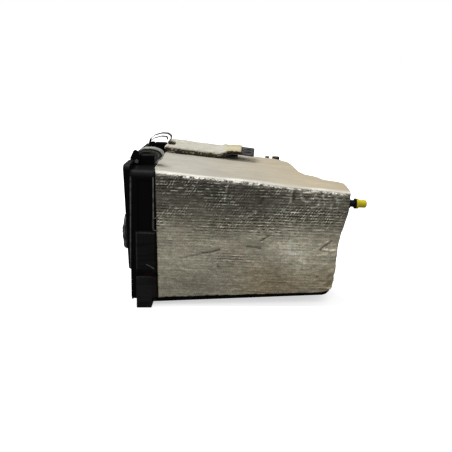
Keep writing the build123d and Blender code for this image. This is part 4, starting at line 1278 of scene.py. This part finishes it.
@dataclass
class SoftSolid:
    """A packed soft solid, rebuilt as an even mesh with rounded edges and soft dents."""

    node: str
    slot: str
    name: str
    finish: object
    fill: Optional[float] = None
    cell_mm: float = 1.2
    rounds: int = 10
    swell_mm: float = 0.4
    dent_mm: float = 0.8
    dent: Noise = Noise((16, 16, 12), 51, -1.0, 1.0)
    wrinkle_mm: float = 0.3
    wrinkle: Noise = Noise((6, 6, 5), 52, -1.0, 1.0)

    def even(self) -> tuple[Array, Faces]:
        """Rebuild the node's solid.

        Returns:
            The points and faces of an even, rounded mesh.
        """
        copy = bpy.data.objects.new("scratch", frame["nodes"][self.node].data.copy())
        bpy.context.scene.collection.objects.link(copy)
        grid = copy.modifiers.new("even", "REMESH")
        grid.mode, grid.voxel_size = "VOXEL", self.cell_mm * MM
        smooth = copy.modifiers.new("rounded", "SMOOTH")
        smooth.factor, smooth.iterations = 0.5, self.rounds
        mesh = copy.evaluated_get(bpy.context.evaluated_depsgraph_get()).to_mesh()
        points = np.array([v.co for v in mesh.vertices])
        faces = [tuple(p.vertices) for p in mesh.polygons]
        bpy.data.objects.remove(copy)
        return points, faces

    def shaped(self, points: Array, normals: Array) -> Array:
        """Swell and dent the mesh along its normals.

        Args:
            points: rows of x, y and z in metres.
            normals: one unit normal for each point.

        Returns:
            The moved points.
        """
        places = FLANGE.flange(points)
        dents = self.dent.at(places) * self.dent_mm
        wrinkles = self.wrinkle.crests(places) * self.wrinkle_mm
        return points + normals * ((dents + wrinkles + self.swell_mm) * MM)[:, None]

    def tones(self, places: Array, normals: Array) -> Optional[Array]:
        """Colours that the mesh carries, if it carries any."""
        return None

    def build(self) -> Piece:
        """Make the piece and hide the plain solid."""
        points, faces = self.even()
        normals = normals_of(points, faces)
        points = self.shaped(points, normals)
        piece = new_piece(self.name, points, faces)
        skin = self.tones(FLANGE.flange(points), normals)
        if skin is not None:
            carry(piece, Attribute.SKIN, skin)
        piece.data.materials.append(self.finish.material())
        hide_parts(self.node)
        return piece


@dataclass
class ArmPad(SoftSolid):
    """The padded cloth on the bracket, torn open along its near edge."""

    node: str = "arm_pad"
    slot: str = "pad_cloth"
    name: str = "torn_pad"
    finish: object = PaddedCloth("pad_cloth")
    fill: float = 0.5
    cell_mm: float = 1.0
    rounds: int = 16
    dent_mm: float = 0.6
    wrinkle_mm: float = 0.15
    facing: Span = (0.3, 0.9)
    sag: Noise = Noise((26, 30, 30), 63, 0.64, 2.88)
    ragged: Noise = Noise((7, 9, 9), 61, -1.0, 1.0)
    end_u: float = 148.0
    end_round: float = 9.0
    end_flatter: float = 0.45
    end_sinks: float = 1.2
    cream: Colour = (0.50, 0.475, 0.405)
    yellow: Colour = (0.52, 0.46, 0.28)
    padding: Colour = (0.012, 0.01, 0.006)
    rusty: Colour = (0.085, 0.062, 0.03)
    tufted: Colour = (0.50, 0.46, 0.36)
    end_edge: Noise = Noise((8, 8, 8), 73, 0.0, 6.0)
    mottle: Noise = Noise((18, 10, 10), 65, 0.9, 1.1)
    tear: Noise = Noise((8, 6, 6), 67, 0.32, 0.92)
    tuft: Noise = Noise((2.4, 2.0, 3.0), 69)
    rust: Noise = Noise((14, 8, 8), 71)

    def shaped(self, points: Array, normals: Array) -> Array:
        """Dent the pad, let its near edge sag unevenly and flatten its end.

        Args:
            points: rows of x, y and z in metres.
            normals: one unit normal for each point.

        Returns:
            The moved points.
        """
        places = FLANGE.flange(super().shaped(points, normals))
        facing = step(-normals[:, 1], *self.facing)
        ragged = self.ragged.at(places)
        places[:, 2] -= facing * self.sag.at(places)
        places[:, 1] += facing * ragged
        ended = step(places[:, 0], self.end_u - self.end_round, self.end_u + 1)
        middle = places[:, 2][ended > 0.3].mean()
        places[:, 2] += ended * (self.end_flatter * (middle - places[:, 2]) - self.end_sinks)
        return FLANGE.world(places)

    def tones(self, places: Array, normals: Array) -> Array:
        """Colour the pad: cream on top, dark with pale tufts on its sides and under: torn padding, and
        painted shade.

        Args:
            places: rows of u, v and w.
            normals: one unit normal for each point.

        Returns:
            Rows of colours.
        """
        u = places[:, 0] + self.end_edge.at(places)
        ended = step(u, self.end_u - self.end_round, self.end_u + 3)
        top = tinted(self.cream, self.yellow, 0.8 * ended) * self.mottle.at(places)[:, None]
        # Faces turned sideways or down go dark: torn padding, and painted shade.
        torn = step(self.tear.at(places) - normals[:, 2], 0.0, 0.35)
        inside = tinted(self.padding, self.rusty, self.rust.at(places))
        inside = tinted(inside, self.tufted, 0.6 * step(self.tuft.at(places), 0.64, 0.8))
        return tinted(top, inside, torn)


@dataclass
class InletLip(SoftSolid):
    """The grey rubber lip round the cover's inlet, lumpy with age and shrunk a little."""

    node: str = "inlet_boot"
    slot: str = "grey_rubber"
    name: str = "lumpy_lip"
    finish: object = DullRubber("grey_rubber", (0.05, 0.05, 0.05), (0.22, 0.22, 0.21), 0.6)
    rounds: int = 4
    swell_mm: float = -1.4
    dent_mm: float = 1.3
    wrinkle_mm: float = 0.5


@dataclass
class Studio:
    """Camera, lamps, floor and white surroundings, with places in metres."""

    camera_place: Size = (0.12963, -0.721, 0.35)
    pitch_deg: float = 16.8
    lens: float = 38.95
    sensor: float = 36.0
    nearest: float = 0.01
    ambient: float = 0.32
    floor_half: float = 12.0
    floor_bounce: float = 0.2
    floor_shown: float = 0.9
    floor_glow: float = 0.6
    glow_span: Span = (0.45, 0.9)
    lamps_aim: Size = (0.15, 0.1, 0.1)
    key_place: Size = (-0.5, 0.3, 1.9)
    key_size: float = 1.6
    key_watts: float = 34.0
    fill_place: Size = (0.3, -1.5, 1.6)
    fill_size: float = 1.2
    fill_watts: float = 14.0

    def build_camera(self) -> None:
        """Stand the camera where the photograph was taken from."""
        data = bpy.data.cameras.new("camera")
        data.lens, data.sensor_width = self.lens, self.sensor
        data.clip_start = self.nearest
        camera = bpy.data.objects.new("camera", data)
        camera.location = self.camera_place
        camera.rotation_euler = (math.radians(90 - self.pitch_deg), 0, 0)
        bpy.context.scene.collection.objects.link(camera)
        bpy.context.scene.camera = camera

    def build_lamp(self, name: str, place: Size, size: float, watts: float) -> None:
        """Hang a soft lamp that faces the object.

        Args:
            name: the lamp's name.
            place: where it hangs, in metres.
            size: its width in metres.
            watts: its power.
        """
        data = bpy.data.lights.new(name, "AREA")
        data.shape, data.size, data.energy = "DISK", size, watts
        lamp = bpy.data.objects.new(name, data)
        lamp.location = place
        lamp.rotation_euler = (Vector(self.lamps_aim) - Vector(place)).to_track_quat("-Z", "Y").to_euler()
        bpy.context.scene.collection.objects.link(lamp)

    def build_floor(self) -> None:
        """Lay a pale floor that shows white and keeps the object's shadow."""
        h = self.floor_half
        mesh = new_mesh("floor", [(-h, -h, 0), (h, -h, 0), (h, h, 0), (-h, h, 0)], [(0, 1, 2, 3)])
        floor = bpy.data.objects.new("floor", mesh)
        bpy.context.scene.collection.objects.link(floor)
        g = Graph("pale_floor")
        seen = g.add("ShaderNodeLightPath").outputs["Is Camera Ray"]
        tint = g.blend(seen, (self.floor_bounce,) * 3, (self.floor_shown,) * 3)
        diffuse = g.add("ShaderNodeBsdfDiffuse", {"Color": tint}).outputs[0]
        away = g.add("ShaderNodeVectorMath", {0: g.coordinates()}, operation="LENGTH").outputs["Value"]
        level = g.spread(away, *self.glow_span, self.floor_glow, 1.0)
        glow = g.add("ShaderNodeEmission", {"Strength": g.product(seen, level)}).outputs[0]
        both = g.add("ShaderNodeAddShader", {0: diffuse, 1: glow}).outputs[0]
        g.add("ShaderNodeOutputMaterial", {"Surface": both})
        mesh.materials.append(g.material)

    def build_world(self) -> None:
        """Surround everything with white that lights the object plainly."""
        world = bpy.data.worlds.new("surroundings")
        world.use_nodes = True
        tree = world.node_tree
        seen = tree.nodes.new("ShaderNodeLightPath").outputs["Is Camera Ray"]
        level = tree.nodes.new("ShaderNodeMapRange")
        level.inputs["To Min"].default_value = self.ambient
        tree.links.new(seen, level.inputs["Value"])
        background = tree.nodes["Background"]
        background.inputs["Color"].default_value = (1, 1, 1, 1)
        tree.links.new(level.outputs[0], background.inputs["Strength"])
        bpy.context.scene.world = world

    def build(self) -> None:
        """Set up the whole studio."""
        bpy.context.scene.view_settings.view_transform = "Standard"
        self.build_camera()
        self.build_world()
        self.build_floor()
        self.build_lamp("key", self.key_place, self.key_size, self.key_watts)
        self.build_lamp("fill", self.fill_place, self.fill_size, self.fill_watts)


class Wardrobe:
    """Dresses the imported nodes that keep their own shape."""

    def __init__(self) -> None:
        """Build one material for each of the record's slots."""
        black, dusty = (0.001, 0.001, 0.0011), (0.006, 0.006, 0.0063)
        edge_lit = (0.035, 0.035, 0.036)
        rake = 0.0175
        # Beads: painted highlights on rounded edges and painted light on the blocks' faces; the last two
        # beads are stains.
        fillet_highlight = Bead(-2.9, -1.2, 12, 212, (0.12, 0.12, 0.12), rake)
        beads = (
            fillet_highlight,
            Bead(2.2, 3.4, 60, 205, (0.012, 0.012, 0.012), rake),
            Bead(5, 39, 63, 127, (0.009, 0.0085, 0.0095), soft=3),
            Bead(4, 36, -6, 53, (0.016, 0.016, 0.017), soft=2),
            Bead(34.1, 35.6, 130, 212, (0.16, 0.155, 0.14)),
            Bead(8.8, 9.9, 66, 126, edge_lit),
            Bead(5, 38, 125.2, 126.6, edge_lit),
            Bead(8, 33, 51.4, 53.2, (0.04, 0.04, 0.041)),
            Bead(22, 33, 55, 61, (0.007, 0.0018, 0.0015), soft=3),
            Bead(35, 39.5, 20, 52, (0.016, 0.010, 0.007), soft=3),
        )
        grease = (0.10, 0.098, 0.07)
        steel = SpringSteel("clip_strip", (0.60, 0.59, 0.54), (0.22, 0.21, 0.18), 0.42, soiled=grease)
        leaf = SpringSteel("clip_leaf", (0.2, 0.195, 0.165), (0.05, 0.05, 0.038), 0.5, soiled=grease)
        zinc = SpringSteel("zinc_plate", (0.45, 0.44, 0.39), (0.2, 0.19, 0.16), 0.4, 400)
        wire = SpringSteel("dull_wire", (0.12, 0.12, 0.115), (0.05, 0.05, 0.045), 0.5, 400)
        duct = MouldedPlastic("duct_moulding", (0.01, 0.01, 0.011), (0.03, 0.03, 0.03), 0.42)
        sensor = MouldedPlastic("sensor_moulding", (0.008, 0.008, 0.009), (0.02, 0.02, 0.02), 0.36)
        cap = MouldedPlastic("yellow_cap", (0.60, 0.49, 0.02), (0.66, 0.58, 0.12), 0.4, 500, 0.03, 0.4)
        finishes = {
            "black_plastic": MouldedPlastic("black_moulding", black, dusty, beads=beads),
            "cover_plastic": MouldedPlastic("cover_moulding", black, dusty, 0.46, beads=(fillet_highlight,)),
            "duct_plastic": duct,
            "sensor_plastic": sensor,
            "nipple_plastic": sensor,
            "cap_plastic": cap,
            "filter_paper": FilterPaper(),
            "seal_rubber": DullRubber("black_rubber", (0.008, 0.008, 0.008), (0.04, 0.04, 0.038)),
            "bush_rubber": DullRubber("brown_rubber", (0.03, 0.027, 0.02), (0.09, 0.08, 0.06)),
            "spring_steel": steel,
            "leaf_steel": leaf,
            "pin_steel": zinc,
            "screw_steel": zinc,
            "wire_steel": wire,
            "bracket_paint": PaintedSheet("bracket_coat", (0.02, 0.02, 0.021), (0.09, 0.09, 0.092)),
        }
        self.by_slot = {slot: finish.material() for slot, finish in finishes.items()}

    def dress(self) -> None:
        """Give each kept node its slot's material."""
        for part in frame["record"]["subparts"]:
            node = frame["nodes"][part["node"]]
            finish = self.by_slot.get(part["material_slot"])
            if finish is None:
                continue
            node.data.materials.clear()
            node.data.materials.append(finish)
            LOG.info("dressed %s", part["node"])


def main() -> None:
    """Build the studio and every piece in order."""
    logging.basicConfig(level=logging.INFO, format="%(message)s")
    Studio().build()
    Wardrobe().dress()
    HeatShield().build()
    ArmPad().build()
    InletLip().build()


if __name__ == "__main__":
    main()
